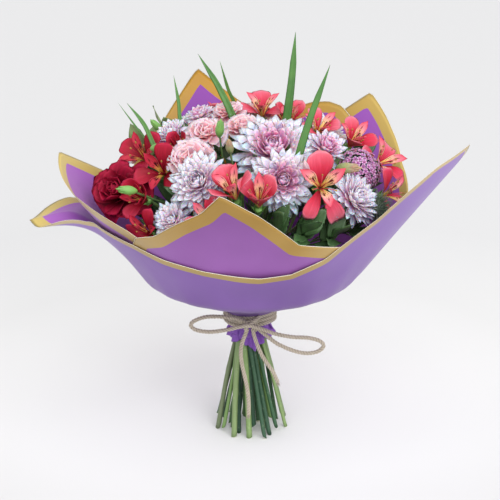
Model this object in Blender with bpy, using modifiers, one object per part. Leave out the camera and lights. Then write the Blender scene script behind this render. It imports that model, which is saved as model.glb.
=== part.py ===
"""A hand-tied chrysanthemum bouquet in a film wrap, standing on its cut stems.

Metres, +Z up. The bouquet is laid out round its own upright axis, and the
finished model is moved so that the middle of its footprint is the origin.
Every head keeps to a cone of its own from one focus low in the bouquet, and
the stems pass through the tie in a ring pattern that widens both ways.
"""

import math
import random

import bmesh
import bpy
import numpy as np
from mathutils import Matrix

MM = 0.001

# The bunch of stems
STEM_SPACING = 4.6 * MM
STEM_SIDES = 5
PEDICEL_SIDES = 4
FORK_SHARE = 0.45
RING_PLACES = (1, 6, 12, 18)
FOOT_SPREAD = 3.1
FOOT_TWIST = math.radians(38)
TIED_FROM = 120 * MM
TIED_TO = 143 * MM
KNEE_HEIGHT = 166 * MM
KNEE_SPREAD = 2.7
FURTHEST_PLACE = 12 * MM
FUSED_SHARE = 0.74
PACK_ROUNDS = 400
CLEARANCE = 0.4 * MM
SAMPLE_STEP = 3 * MM
BLOOM_SHARE = 0.5
MOST_BEND = 11 * MM
BEND_STEP = 3.5 * MM
MOST_BEND_TRIES = 900
LONGEST_SHORT_CUT = 9 * MM

# The heads
FOCUS = np.array((0.0, 0.0, 170 * MM))
PEDICEL_RADIUS = 1.5 * MM
SEAT_GAP = 0.3 * MM
CELL_GAP = 0.35 * MM
LEAF_WIDTH = 11 * MM
LEAF_ROOM = 2 * MM
UNDER_BLOOM = 1.5 * MM
WALL_GAP = 3 * MM

# The film wrap
FILM_THICKNESS = 0.7 * MM
LAYER_STEP = 1.35 * MM
FILM_WAIST_RADIUS = 16.3 * MM
SKIRT_TOP = 121.6 * MM
SKIRT_OVERHANG = 0.4 * MM
SKIRT_COLUMNS = 24
SKIRT_HEM = 113 * MM
SKIRT_HEM_RUNS = 4 * MM
SKIRT_LOBE = 10 * MM
SKIRT_LOBE_DEGREES = 10
SKIRT_LOBE_WIDTH = 24
SKIRT_FLARE = 2.0 * MM
SKIRT_WAVE = 2.4 * MM
SKIRT_MIDDLE_HALF = 1.3 * MM
HEM_THICKNESS = 0.6 * MM
CREASE_RADIUS = 105 * MM
CREASE_HEIGHT = 180 * MM
FILM_FOOT = 122 * MM
FILM_NECK = 141 * MM
SLOPE_FRONT = 0.46
SLOPE_SIDE_MORE = 0.285
COLUMN_DEGREES = 9
NEAR_COLUMN = 3

# The twine
TWINE_RADIUS = 2.2 * MM
TWINE_TURNS = 3
TWINE_POINT_SPACING = 3 * 2 * TWINE_RADIUS
BINDING_RADIUS = FILM_WAIST_RADIUS + 9.95 * MM
BINDING_HEIGHT = 130 * MM
BINDING_STEPS = 20
KNOT_CENTRE = (0, -(BINDING_RADIUS + 5.2 * MM), 130.5 * MM)
KNOT_RADII = (6.6 * MM, 4.6 * MM, 5.6 * MM)

FRONT = np.array((0.0, -1.0, 0.0))
UP = np.array((0.0, 0.0, 1.0))

# Colour, roughness
COLOURS = {
    "stem_green": ((0.16, 0.30, 0.10, 1), 0.55),
    "leaf_green": ((0.02, 0.07, 0.025, 1), 0.5),
    "chrysanthemum_lilac": ((0.74, 0.62, 0.80, 1), 0.6),
    "carnation_pink": ((0.90, 0.52, 0.54, 1), 0.65),
    "alstroemeria_coral": ((0.76, 0.08, 0.11, 1), 0.5),
    "alstroemeria_crimson": ((0.42, 0.01, 0.03, 1), 0.5),
    "rose_crimson": ((0.30, 0.005, 0.02, 1), 0.6),
    "floret_magenta": ((0.55, 0.16, 0.42, 1), 0.7),
    "film_violet": ((0.30, 0.16, 0.52, 1), 0.4),
    "jute": ((0.48, 0.40, 0.32, 1), 0.9),
}

# Each head: kind, centre in millimetres, radius, the way it faces, its spray.
HEADS = {
    "mum_1": ("mum", (23, -42, 322), 38, (0.0, -0.62, 0.78), "mum_front_a"),
    "mum_2": ("mum", (32, -84, 303), 30, (0.12, -0.9, 0.4), "mum_front_a"),
    "mum_3": ("mum", (-50, -88, 302), 28, (-0.3, -0.75, 0.55), "mum_left_a"),
    "mum_4": ("mum", (77, -20, 317), 21, (0.35, -0.5, 0.8), "mum_right_a"),
    "mum_5": ("mum", (104, -74, 281), 26, (0.65, -0.5, 0.55), "mum_right_a"),
    "mum_6": ("mum", (-81, 15, 322), 18, (-0.5, -0.45, 0.75), "mum_left_b"),
    "mum_7": ("mum", (-52, 52, 331), 16, (-0.3, -0.1, 0.95), "mum_left_b"),
    "mum_8": ("mum", (-76, -98, 266), 20, (-0.4, -0.7, 0.55), "mum_left_a"),
    "mum_9": ("mum", (-66, 104, 301), 27, (-0.4, 0.5, 0.75), "mum_back_a"),
    "mum_10": ("mum", (78, 84, 304), 26, (0.35, 0.45, 0.8), "mum_back_b"),
    "carnation_1": ("carnation", (-46, -3, 326), 19, (-0.2, -0.5, 0.85), "carnation_a"),
    "carnation_2": ("carnation", (-8, 12, 328), 17, (0.0, -0.45, 0.9), "carnation_b"),
    "carnation_3": ("carnation", (-22, 42, 336), 16, (-0.1, -0.2, 0.95), "carnation_b"),
    "carnation_4": ("carnation", (-60, -44, 311), 20, (-0.3, -0.65, 0.7), "carnation_a"),
    "carnation_5": ("carnation", (4, 104, 316), 21, (0.0, 0.45, 0.85), "carnation_c"),
    "carnation_6": ("carnation", (-112, 62, 290), 19, (-0.6, 0.35, 0.7), "carnation_d"),
    "rose_1": ("rose", (-133, -28, 273), 26, (-0.5, -0.6, 0.6), "rose_a"),
    "alstro_left_1": ("crimson", (-110, 2, 302), 22, (-0.4, -0.6, 0.7), "alstro_left_a"),
    "alstro_left_2": ("crimson", (-89, -38, 298), 23, (-0.3, -0.75, 0.6), "alstro_left_b"),
    "alstro_left_3": ("crimson", (-108, -58, 276), 20, (-0.5, -0.7, 0.45), "alstro_left_b"),
    "alstro_left_4": ("crimson", (-102, -88, 250), 20, (-0.5, -0.7, 0.4), "alstro_left_b"),
    "alstro_left_5": ("crimson", (-72, -14, 316), 15, (-0.2, -0.5, 0.8), "alstro_left_a"),
    "alstro_front_1": ("coral", (-40, -112, 271), 20, (-0.1, -0.8, 0.5), "alstro_front_a"),
    "alstro_front_2": ("coral", (-18, -98, 302), 24, (-0.1, -0.75, 0.6), "alstro_front_a"),
    "alstro_front_3": ("coral", (9, -106, 294), 21, (0.05, -0.7, 0.65), "alstro_front_b"),
    "alstro_front_4": ("coral", (64, -92, 300), 29, (0.15, -0.85, 0.45), "alstro_front_c"),
    "alstro_back_1": ("coral", (12, 58, 335), 22, (0.0, -0.3, 0.9), "alstro_back_a"),
    "alstro_back_2": ("coral", (42, 50, 328), 20, (0.1, -0.3, 0.9), "alstro_back_a"),
    "alstro_back_3": ("coral", (72, 34, 322), 20, (0.3, -0.4, 0.85), "alstro_back_b"),
    "alstro_back_4": ("coral", (38, 88, 318), 21, (0.1, 0.3, 0.9), "alstro_back_c"),
    "alstro_back_5": ("coral", (-30, 92, 318), 21, (-0.1, 0.35, 0.9), "alstro_back_d"),
    "alstro_right_1": ("coral", (106, 22, 312), 23, (0.4, -0.45, 0.8), "alstro_right_a"),
    "alstro_right_2": ("coral", (134, -2, 297), 24, (0.6, -0.45, 0.65), "alstro_right_a"),
    "alstro_right_3": ("coral", (141, -36, 274), 21, (0.75, -0.45, 0.4), "alstro_right_a"),
    "floret_1": ("floret", (112, -28, 298), 21, (0.4, -0.5, 0.7), "floret_a"),
    "thistle_1": ("thistle", (126, -62, 268), 15, (0.6, -0.6, 0.5), "thistle_a"),
    "bud_1": ("bud", (-30, -26, 338), 8, (0.1, -0.3, 0.9), "carnation_a"),
    "bud_2": ("bud", (-92, -22, 317), 8, (0.55, -0.4, 0.2), "carnation_d"),
    "bud_3": ("bud", (-120, -76, 290), 8, (-0.8, -0.3, 0.2), "carnation_d"),
    "bud_4": ("bud", (-96, 30, 325), 7, (-0.5, -0.2, 0.6), "carnation_d"),
    "ruscus_1": ("leaf", (26, -112, 266), 17, (0.0, -0.6, 0.7), "ruscus_a"),
    "ruscus_2": ("leaf", (58, -112, 262), 19, (0.1, -0.6, 0.7), "ruscus_a"),
    "ruscus_3": ("leaf", (88, -100, 254), 18, (0.3, -0.6, 0.6), "ruscus_a"),
    "ruscus_4": ("leaf", (120, 66, 280), 20, (0.6, 0.4, 0.6), "ruscus_c"),
    "ruscus_5": ("leaf", (-2, 128, 290), 18, (0.0, 0.7, 0.6), "ruscus_d"),
    "foliage_1": ("leaf", (-112, 34, 304), 17, (-0.6, 0.2, 0.7), "foliage_a"),
    "foliage_2": ("leaf", (-88, 58, 318), 17, (-0.4, 0.3, 0.8), "foliage_a"),
}

# Grass blades: the points they pass above the heads, in millimetres, width, spray
GRASS = {
    "blade_1": (((-14, 24, 322), (-30, 31, 362), (-53, 38, 399)), 8, "grass_left"),
    "blade_2": (((-27, 64, 330), (-30, 58, 358), (-31, 52, 386)), 5, "grass_left"),
    "blade_3": (((-70, 40, 320), (-74, 48, 346), (-79, 56, 372)), 5, "grass_left"),
    "blade_4": (((-90, -6, 303), (-108, 12, 332), (-126, 28, 350)), 6, "grass_left"),
    "blade_5": (((39, 22, 318), (46, 24, 372), (50, 28, 424)), 9, "grass_right"),
    "blade_6": (((46, -100, 290), (61, -84, 336), (80, -62, 376)), 9, "grass_right"),
}

# Each stem node: its colour, its stem radius, and the sprays that it holds
STEM_NODES = {
    "chrysanthemum_stems_front": (2.5, ("mum_front_a", "mum_right_a")),
    "chrysanthemum_stems_left": (2.5, ("mum_left_a", "mum_left_b")),
    "chrysanthemum_stems_back": (2.5, ("mum_back_a", "mum_back_b")),
    "carnation_stems_front": (2.2, ("carnation_a", "carnation_b")),
    "carnation_and_ruscus_back": (2.2, ("carnation_c", "ruscus_d")),
    "rose_and_carnation_left": (2.5, ("rose_a", "carnation_d")),
    "alstroemeria_stems_left": (2.4, ("alstro_left_a", "alstro_left_b")),
    "alstroemeria_stems_front": (2.4, ("alstro_front_a", "alstro_front_b", "alstro_front_c")),
    "alstroemeria_stems_back": (2.4, ("alstro_back_a", "alstro_back_b", "alstro_back_c", "alstro_back_d")),
    "alstroemeria_stem_right": (2.4, ("alstro_right_a",)),
    "floret_and_thistle_stems": (2.2, ("floret_a", "thistle_a")),
    "ruscus_front": (2.2, ("ruscus_a",)),
    "ruscus_and_grass_right": (2.2, ("ruscus_c", "grass_right")),
    "foliage_and_grass_left": (2.2, ("foliage_a", "grass_left")),
}
LEAFY = ("mum", "crimson")
GREEN_KINDS = ("bud", "leaf", "thistle")
# How far a bloom's base lies below its centre, as a share of its radius
BASE_DEPTHS = {"mum": 0.22, "rose": 0.45, "coral": 0.55, "crimson": 0.55}

# Film sheets: layer from the inside, and the top edge as (degrees from the front, height in mm)
FILM_SHEETS = {
    "wrap_back_middle": (
        0,
        ((127, 270), (138, 298), (146, 315), (151, 318), (157, 316), (172, 300), (194, 282)),
    ),
    "wrap_back_left": (
        1,
        ((169, 290), (184, 317), (191, 332), (198, 351), (205, 327), (213, 302), (234, 258)),
    ),
    "wrap_back_right": (
        2,
        ((84, 240), (99, 260), (112, 277), (125, 303), (138, 333), (144, 316), (158, 282)),
    ),
    "wrap_left": (
        3,
        ((-128, 240), (-112, 272), (-97, 303), (-82, 293), (-64, 281), (-48, 262), (-36, 236)),
    ),
    "wrap_front_inner": (
        4,
        (
            (-56, 226), (-45, 257), (-36, 264), (-26, 282), (-16, 298),
            (-9, 320), (3, 297), (18, 261), (36, 251), (54, 236),
        ),
    ),
    "wrap_front_outer": (
        5,
        (
            (-118, 200), (-104, 232), (-94, 268), (-86, 290), (-79, 278), (-70, 259), (-48, 248),
            (-36, 237), (-20, 229), (4, 224), (17, 227), (30, 241), (46, 280), (52, 306), (58, 331),
            (68, 345), (84, 300), (106, 226), (116, 196),
        ),
    ),
}
FLAP_LAYER = 5
FLAP_BEND = math.radians(42)
FLAP_BEGINS_AND_ENDS = (66, 86)

# Twine routes in millimetres, chosen by hand
BOW_ROUTE = (
    (-6.9, -31.8, 132), (-15, -34.8, 137), (-30, -38.8, 141), (-46, -39.8, 141), (-58, -38.8, 136),
    (-61, -38.8, 131), (-55, -39.8, 126.5), (-42, -40.8, 125), (-26, -41.3, 127), (-12, -40.3, 130),
    (0, -38.3, 131), (12, -40.3, 128), (26, -41.3, 123), (43, -41.3, 119.5), (60, -41.3, 118.5),
    (72, -41.3, 115), (76, -40.8, 109), (70, -40.8, 103), (58, -40.8, 101), (44, -40.3, 104),
    (28, -38.8, 111), (16, -35.3, 119.5), (6.6, -32.4, 126.6),
)
TAIL_LEFT_ROUTE = (
    (-2.8, -32.8, 125.2), (-5, -35.3, 119), (-8.5, -37.3, 110), (-9.5, -38.8, 99), (-8, -39.8, 86),
    (-5, -40.3, 72), (-2.5, -40.8, 58), (-1.5, -41.3, 45), (-1.5, -41.8, 31),
)
TAIL_RIGHT_ROUTE = (
    (2.8, -32.8, 125.2), (4.5, -35.8, 118), (8, -38.3, 108), (12.5, -39.8, 98), (18, -40.8, 89),
    (24, -41.3, 80), (29, -41.3, 68),
)


def clear_scene():
    for obj in list(bpy.data.objects):
        bpy.data.objects.remove(obj, do_unlink=True)


def new_collection(name):
    collection = bpy.data.collections.new(name)
    bpy.context.scene.collection.children.link(collection)
    return collection


def make_material(name):
    colour, roughness = COLOURS[name]
    material = bpy.data.materials.new(name)
    material.use_nodes = True
    shader = material.node_tree.nodes["Principled BSDF"]
    shader.inputs["Base Color"].default_value = colour
    shader.inputs["Roughness"].default_value = roughness
    shader.inputs["Metallic"].default_value = 0
    return material


def unit(vector):
    return np.asarray(vector, float) / np.linalg.norm(vector)


def smoothstep(value, low, high):
    share = np.clip((value - low) / (high - low), 0, 1)
    return share * share * (3 - 2 * share)


def axes_for(axis):
    """Three unit columns, the third along the axis and the second as near upright as can be."""
    z = unit(axis)
    side = np.cross(UP, z)
    x = unit(side) if np.linalg.norm(side) > 1e-6 else np.array((1.0, 0, 0))
    return np.column_stack((x, np.cross(z, x), z))


def loft(rings, tip=None, root=None):
    """A closed solid through rings of points; each end is a flat cap, or a point where one is given.

    The side quads are split by a rule that is alike on a blade's two faces.
    """
    mesh = bmesh.new()
    rows = [[mesh.verts.new(point) for point in ring] for ring in rings]
    count = len(rows[0])
    for end, row in ((root, rows[0]), (tip, rows[-1])):
        if end is None:
            mesh.faces.new(row)
            continue
        point = mesh.verts.new(end)
        for i in range(count):
            mesh.faces.new((row[i], row[(i + 1) % count], point))
    for low, high in zip(rows, rows[1:]):
        for i in range(count):
            j = (i + 1) % count
            if i % 2 == 0:
                mesh.faces.new((low[i], low[j], high[j]))
                mesh.faces.new((low[i], high[j], high[i]))
            else:
                mesh.faces.new((low[i], low[j], high[i]))
                mesh.faces.new((low[j], high[j], high[i]))
    bmesh.ops.recalc_face_normals(mesh, faces=mesh.faces)
    data = bpy.data.meshes.new("piece")
    mesh.to_mesh(data)
    mesh.free()
    piece = bpy.data.objects.new("piece", data)
    joining.objects.link(piece)
    return piece


def fuse(name, pieces, material):
    """One solid from overlapping pieces, by one Boolean union on a collection."""
    whole = pieces[0]
    if len(pieces) > 1:
        joining.objects.unlink(whole)
        bouquet.objects.link(whole)
        union = whole.modifiers.new("union", "BOOLEAN")
        union.operation = "UNION"
        union.operand_type = "COLLECTION"
        union.collection = joining
        graph = bpy.context.evaluated_depsgraph_get()
        joined = bpy.data.meshes.new_from_object(whole.evaluated_get(graph))
        whole.modifiers.remove(union)
        whole.data = joined
    else:
        joining.objects.unlink(whole)
        bouquet.objects.link(whole)
    for piece in pieces[1:]:
        bpy.data.objects.remove(piece, do_unlink=True)
    whole.name = name
    whole.data.name = name
    whole.data.materials.clear()
    whole.data.materials.append(material)
    return whole


def points_of(obj):
    points = np.empty(len(obj.data.vertices) * 3)
    obj.data.vertices.foreach_get("co", points)
    return points.reshape(-1, 3)


def set_points(obj, points):
    obj.data.vertices.foreach_set("co", points.ravel())
    obj.data.update()


# Cells: the half-spaces that keep one head clear of its neighbours and of the film


def slope_at(angle):
    """How fast the flared film widens with height, by the angle from the front."""
    return SLOPE_FRONT + SLOPE_SIDE_MORE * math.sin(angle) ** 2


def film_point(degrees, height):
    """A point of the flared film, on the facet between two neighbouring columns."""
    step = degrees / COLUMN_DEGREES
    low = math.floor(step)
    share = step - low
    ends = []
    for column in (low, low + 1):
        angle = math.radians(column * COLUMN_DEGREES)
        radius = CREASE_RADIUS + (height - CREASE_HEIGHT) * slope_at(angle)
        ends.append(np.array((radius * math.sin(angle), -radius * math.cos(angle), height)))
    return ends[0] * (1 - share) + ends[1] * share


def wall_planes():
    planes = []
    for column in range(360 // COLUMN_DEGREES):
        degrees = column * COLUMN_DEGREES
        corner = film_point(degrees, CREASE_HEIGHT)
        along = film_point(degrees + COLUMN_DEGREES, CREASE_HEIGHT) - corner
        upward = film_point(degrees, 2 * CREASE_HEIGHT) - corner
        normal = unit(np.cross(along, upward))
        if normal[:2] @ corner[:2] < 0:
            normal = -normal
        planes.append((normal, normal @ corner - WALL_GAP))
    return planes


def head_cones():
    """Each head's direction from the focus and the half-angle that it fills."""
    cones = {}
    for name, (_, centre, radius, _, _) in HEADS.items():
        offset = np.array(centre) * MM - FOCUS
        distance = np.linalg.norm(offset)
        cones[name] = (offset / distance, math.asin(radius * MM / distance))
    for name, (points, width, _) in GRASS.items():
        offset = np.array(points[0]) * MM - FOCUS
        distance = np.linalg.norm(offset)
        cones[name] = (offset / distance, math.asin(0.55 * width * MM / distance))
    return cones


def cell_of(name, cones, walls):
    """The planes round one head, each through the focus between it and a neighbour."""
    own, own_angle = cones[name]
    planes = list(walls)
    for other, (direction, angle) in cones.items():
        if other == name:
            continue
        between = math.acos(np.clip(own @ direction, -1, 1))
        share = between * own_angle / (own_angle + angle)
        across = unit(direction - (direction @ own) * own)
        edge = own * math.cos(share) + across * math.sin(share)
        normal = unit(across - (across @ edge) * edge)
        planes.append((normal, normal @ FOCUS - CELL_GAP))
    return planes


def reach(start, direction, planes):
    normals = np.array([normal for normal, limit in planes])
    limits = np.array([limit for normal, limit in planes])
    speed = normals @ direction
    room = limits - normals @ start
    ahead = speed > 1e-6
    return max((room[ahead] / speed[ahead]).min(), 0) if ahead.any() else 1.0


def squash_into(points, centre, planes, start=0.72):
    """Draws points in towards the centre so that none passes a plane; those well inside stay."""
    normals = np.array([normal for normal, limit in planes])
    limits = np.array([limit for normal, limit in planes])
    offsets = points - centre
    distance = np.linalg.norm(offsets, axis=1)
    directions = offsets / np.maximum(distance, 1e-9)[:, None]
    speed = directions @ normals.T
    room = np.maximum(limits - normals @ centre, 0.2 * MM)
    far = np.where(speed > 1e-6, room / np.maximum(speed, 1e-6), 10.0).min(axis=1)
    share = distance / far
    bent = start + (1 - start) * (1 - np.exp(-np.maximum(share - start, 0) / (1 - start)))
    share = np.where(share > start, bent, share)
    return centre + directions * (share * far)[:, None]


# Pleated blooms: columns round the bloom, and each layer's degrees above the base and its length
FULL_MUM = (26, ((4, 1.0), (22, 0.96), (42, 0.82), (66, 0.66)))
SMALL_MUM = (22, ((8, 1.0), (32, 0.92), (62, 0.72)))
FULL_MUM_RADIUS = 24 * MM
# Rims and the folds between them, as shares of the radius: (out, height)
CARNATION_FOLDS = ((0.2, 0.0), (0.5, 0.34), (0.44, 0.58), (0.22, 0.74))
CARNATION_RIMS = ((1.02, 0.42), (0.88, 0.74), (0.6, 0.98), (0.3, 1.1))
ROSE_FOLDS = ((0.2, 0.0), (0.55, 0.38), (0.4, 0.66), (0.2, 0.86))
ROSE_RIMS = ((1.2, 0.46), (0.95, 0.84), (0.62, 1.06), (0.26, 1.14))
FLORET_ROWS = ((0.3, 0.0), (0.78, 0.08), (0.95, 0.3), (0.92, 0.52), (0.76, 0.72), (0.5, 0.86), (0.2, 0.94))
THISTLE_ROWS = ((0.2, -0.4), (0.6, -0.2), (0.85, 0.15), (0.85, 0.5), (0.6, 0.85), (0.25, 1.05))


def blade_rings(path, widths, thicknesses, cups, side, sides):
    """Three- or four-sided cross-sections of a blade along a path, cupped by raising its two edges."""
    path = np.array(path, float)
    side = unit(side)
    rings = []
    for i, centre in enumerate(path):
        ahead = path[min(i + 1, len(path) - 1)] - path[max(i - 1, 0)]
        normal = unit(np.cross(side, ahead))
        half = side * widths[i] / 2
        lift = normal * cups[i]
        thick = normal * thicknesses[i] / 2
        if sides == 3:
            rings.append((centre - half + lift, centre + half + lift, centre - 2 * thick))
        else:
            rings.append((centre - half + lift, centre + thick, centre + half + lift, centre - thick))
    return rings


class Head:
    """A head's local frame: its base at the origin, facing along its own Z."""

    def __init__(self, name, cones, walls):
        self.kind, centre, radius, facing, self.spray = HEADS[name]
        self.radius = radius * MM
        self.axes = axes_for(facing)
        self.axis = self.axes[:, 2]
        self.centre = np.array(centre) * MM
        self.base = self.centre - self.axis * BASE_DEPTHS.get(self.kind, 0.3) * self.radius
        self.planes = cell_of(name, cones, walls)

    def place(self, points):
        return self.base + np.asarray(points) @ self.axes.T

    def fitted(self, path):
        """A local path, shortened from its root until its tip lies in the cell."""
        path = np.array(path, float)
        tip = self.place(path[-1]) - self.centre
        length = np.linalg.norm(tip)
        share = 0.93 * reach(self.centre, tip / length, self.planes) / length
        share = min(1.0, max(share, 0.3))
        return path[0] + (path - path[0]) * share, share

    def petal(self, azimuth, profile, widths, thicknesses, cups, sides):
        """A petal in the plane of one azimuth, from (distance out, height) pairs: root point, widths, tip."""
        out = np.array((math.cos(azimuth), math.sin(azimuth), 0))
        side = np.array((-math.sin(azimuth), math.cos(azimuth), 0))
        path, share = self.fitted([out * rho + UP * height for rho, height in profile])
        narrow = 0.5 + 0.5 * share
        widths = np.concatenate(([1 * MM], np.array(widths) * narrow))
        rings = blade_rings(path[:-1], widths, (0, *thicknesses), (0, *cups), -side, sides)
        return loft([self.place(ring) for ring in rings[1:]], self.place(path[-1]), self.place(path[0]))

    def core(self, profile, sides, tip):
        """A turned core from (radius, height) pairs."""
        angles = [2 * math.pi * i / sides for i in range(sides)]
        rings = [
            self.place([(radius * math.cos(a), radius * math.sin(a), height) for a in angles])
            for radius, height in profile
        ]
        return loft(rings, self.place((0, 0, tip)))

    def squash(self, obj):
        set_points(obj, squash_into(points_of(obj), self.centre, self.planes))


def pleated(head, rings, root, tip):
    """One closed solid through rings of (distance out, height), each point kept in the head's cell."""
    placed = []
    for row, shift in rings:
        count = len(row)
        points = []
        for i, (rho, height) in enumerate(row):
            azimuth = 2 * math.pi * (i + shift) / count
            spot = np.array((rho * math.cos(azimuth), rho * math.sin(azimuth), height))
            start = np.array((0, 0, 0.6 * height))
            points.append(head.fitted((start, spot))[0][-1])
        placed.append(head.place(points))
    return loft(placed, head.place((0, 0, tip)), head.place((0, 0, root)))


def mum_pieces(head):
    """Layers of pointed petals, each steeper and shorter than the one below, turned by half a petal."""
    r = head.radius
    columns, layers = FULL_MUM if r > FULL_MUM_RADIUS else SMALL_MUM
    rings = []
    for layer, (pitch, length) in enumerate(layers):
        waist = (0.3 - 0.05 * layer) * r
        low = (0.12 + 0.1 * layer) * r
        rings.append(([(waist, low)] * columns, 0))
        row = []
        for i in range(columns):
            slant = math.radians(pitch + rng.uniform(-3, 3))
            long = r * length * (rng.uniform(0.93, 1.06) if (i + layer) % 2 == 0 else 0.62)
            row.append((long * math.cos(slant), low + long * math.sin(slant)))
        rings.append((row, 0))
    return [pleated(head, rings, 0, low + 0.3 * r)]


def alstroemeria_pieces(head):
    """Three broad outer petals and three narrow inner ones that open from a funnel."""
    r = head.radius
    turn = rng.uniform(0, 2 * math.pi)
    pieces = [head.core(((0.1 * r, 0), (0.2 * r, 0.3 * r)), 5, 0.55 * r)]
    for i in range(6):
        outer = i % 2 == 0
        azimuth = turn + i * math.pi / 3 + rng.uniform(-0.08, 0.08)
        spread = 1.12 if outer else 0.92
        rise = (0.72 if outer else 0.98) + rng.uniform(-0.06, 0.06)
        bend = (0.5 * r * spread, 0.68 * r * rise)
        broad = (0.86 * r * spread, 0.86 * r * rise)
        wide = (0.9 if outer else 0.5) * r
        if outer:
            profile = ((0.0, 0.1 * r), bend, broad, (1.1 * r * spread, 0.78 * r * rise))
            widths, cups = (0.62 * wide, wide), (0.16 * wide, 0.1 * wide)
        else:
            bend, end = (0.6 * r * spread, 0.76 * r * rise), (1.1 * r * spread, 0.84 * r * rise)
            profile = ((0.0, 0.1 * r), bend, end)
            widths, cups = (wide,), (0.12 * wide,)
        pieces.append(head.petal(azimuth, profile, widths, (1.1 * MM, 0.9 * MM), cups, 4 if outer else 3))
    return pieces


def ruffled_rings(r, columns, folds, rims, shape):
    """Folds and rims in turn; shape(layer, column) gives how far a rim runs out and how far it drops."""
    rings = []
    for layer, (fold, rim) in enumerate(zip(folds, rims)):
        rings.append(([(fold[0] * r, fold[1] * r)] * columns, 0))
        row = []
        for i in range(columns):
            out, drop = shape(layer, i)
            row.append((rim[0] * r * out, (rim[1] - drop) * r))
        rings.append((row, 0))
    return rings


def carnation_pieces(head):
    """Ruffled rims one in another, each running in and out, up and down."""

    def shape(layer, i):
        shake = (1 if (i + layer) % 2 else -1) + rng.uniform(-0.5, 0.5)
        return 1 + 0.07 * shake, 0.08 * shake

    r = head.radius
    return [pleated(head, ruffled_rings(r, 16, CARNATION_FOLDS, CARNATION_RIMS, shape), 0, 0.9 * r)]


def rose_pieces(head):
    """Whorls of five broad round petals, each whorl turned by half a petal, round a closed heart."""

    def shape(layer, i):
        lobe = abs(math.cos(math.pi * (i / 4 + 0.5 * (layer % 2))))
        return 0.8 + 0.24 * lobe, 0.12 * (1 - lobe) + rng.uniform(-0.02, 0.02)

    r = head.radius
    return [pleated(head, ruffled_rings(r, 20, ROSE_FOLDS, ROSE_RIMS, shape), 0, 0.95 * r)]


def bumpy_piece(head, columns, rows, bump, root, tip):
    """A domed head whose surface runs in and out from one floret or spine to the next."""
    r = head.radius
    rings = []
    for level, (rho, height) in enumerate(rows):
        row = []
        for i in range(columns):
            swell = 1 + (bump if (i + level) % 2 else -bump) * rng.uniform(0.7, 1.3)
            row.append((rho * r * swell, height * r * (1 + 0.3 * (swell - 1))))
        rings.append((row, 0))
    return pleated(head, rings, root * r, tip * r)


def floret_pieces(head):
    return [bumpy_piece(head, 16, FLORET_ROWS, 0.14, 0.0, 0.96)]


def thistle_pieces(head):
    return [bumpy_piece(head, 10, THISTLE_ROWS, 0.24, -0.4, 1.1)]


BUILDERS = {
    "mum": (mum_pieces, "chrysanthemum_lilac"),
    "coral": (alstroemeria_pieces, "alstroemeria_coral"),
    "crimson": (alstroemeria_pieces, "alstroemeria_crimson"),
    "carnation": (carnation_pieces, "carnation_pink"),
    "rose": (rose_pieces, "rose_crimson"),
    "floret": (floret_pieces, "floret_magenta"),
}


def node_name(name):
    return name.replace("mum_", "chrysanthemum_").replace("alstro_", "alstroemeria_")


def build_blooms(heads):
    for name, head in heads.items():
        if head.kind in GREEN_KINDS:
            continue
        make, material = BUILDERS[head.kind]
        bloom = fuse(node_name(name), make(head), materials[material])
        head.squash(bloom)


# Stems


def ring_places():
    places = []
    for ring, count in enumerate(RING_PLACES):
        for i in range(count):
            angle = 2 * math.pi * (i + 0.25 * ring) / count
            places.append(np.array((math.cos(angle), math.sin(angle))) * ring * STEM_SPACING)
    return places


def spray_heads(spray):
    names = [name for name, row in HEADS.items() if row[4] == spray]
    return names + [name for name, row in GRASS.items() if row[2] == spray]


def spray_direction(spray, cones):
    return unit(sum(cones[name][0] for name in spray_heads(spray)))


def stem_points(place, foot):
    """A stem from its cut foot to its knee: spread and turned below the tie, spread again above it."""
    away = (TIED_FROM - foot) / TIED_FROM
    x, y = place
    c, s = math.cos(FOOT_TWIST * away), math.sin(FOOT_TWIST * away)
    spread = 1 + (FOOT_SPREAD - 1) * away
    return [
        np.array((spread * (c * x - s * y), spread * (s * x + c * y), foot)),
        np.array((x, y, TIED_FROM)),
        np.array((x, y, TIED_TO)),
        np.array((*(place * KNEE_SPREAD), KNEE_HEIGHT)),
    ]


def stem_path(spray, place, heads, bends):
    """The whole main stem, to the fork of its branches, and each branch's end."""
    short = 0 if sum(map(ord, spray)) % 3 else (0.4 + 0.1 * (len(spray) % 6)) * LONGEST_SHORT_CUT
    points = stem_points(place, short)
    names = spray_heads(spray)
    necks = {}
    for name in names:
        necks[name] = neck_of(heads[name]) if name in heads else np.array(GRASS[name][0][0]) * MM
    middle_neck = sum(necks.values()) / len(names)
    points.append(FOCUS + (middle_neck - FOCUS) * FORK_SHARE + bends.get(spray, 0))
    return points, necks


def branch_path(name, points, neck, heads, bends):
    """A branch's centre line: it leaves the fork along the stem and ends under its head."""
    fork = points[-1]
    run = unit(fork - points[-2])
    long = np.linalg.norm(neck - fork)
    aside = unit(neck - fork) * 0.7 * MM
    start = fork - run * 2 * MM + aside
    bend = bends.get(name, 0)
    lead = fork + (run * 0.5 + unit(neck - fork) * 0.5) * 0.25 * long + bend
    if name not in heads:
        return [start, lead + unit(neck - fork) * 0.35 * long, neck]
    head = heads[name]
    rise = neck - (head.axis * 0.35 + unit(neck - FOCUS) * 0.65) * 0.3 * long + bend
    return list(bezier((start, lead, rise, neck), 4))


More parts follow.
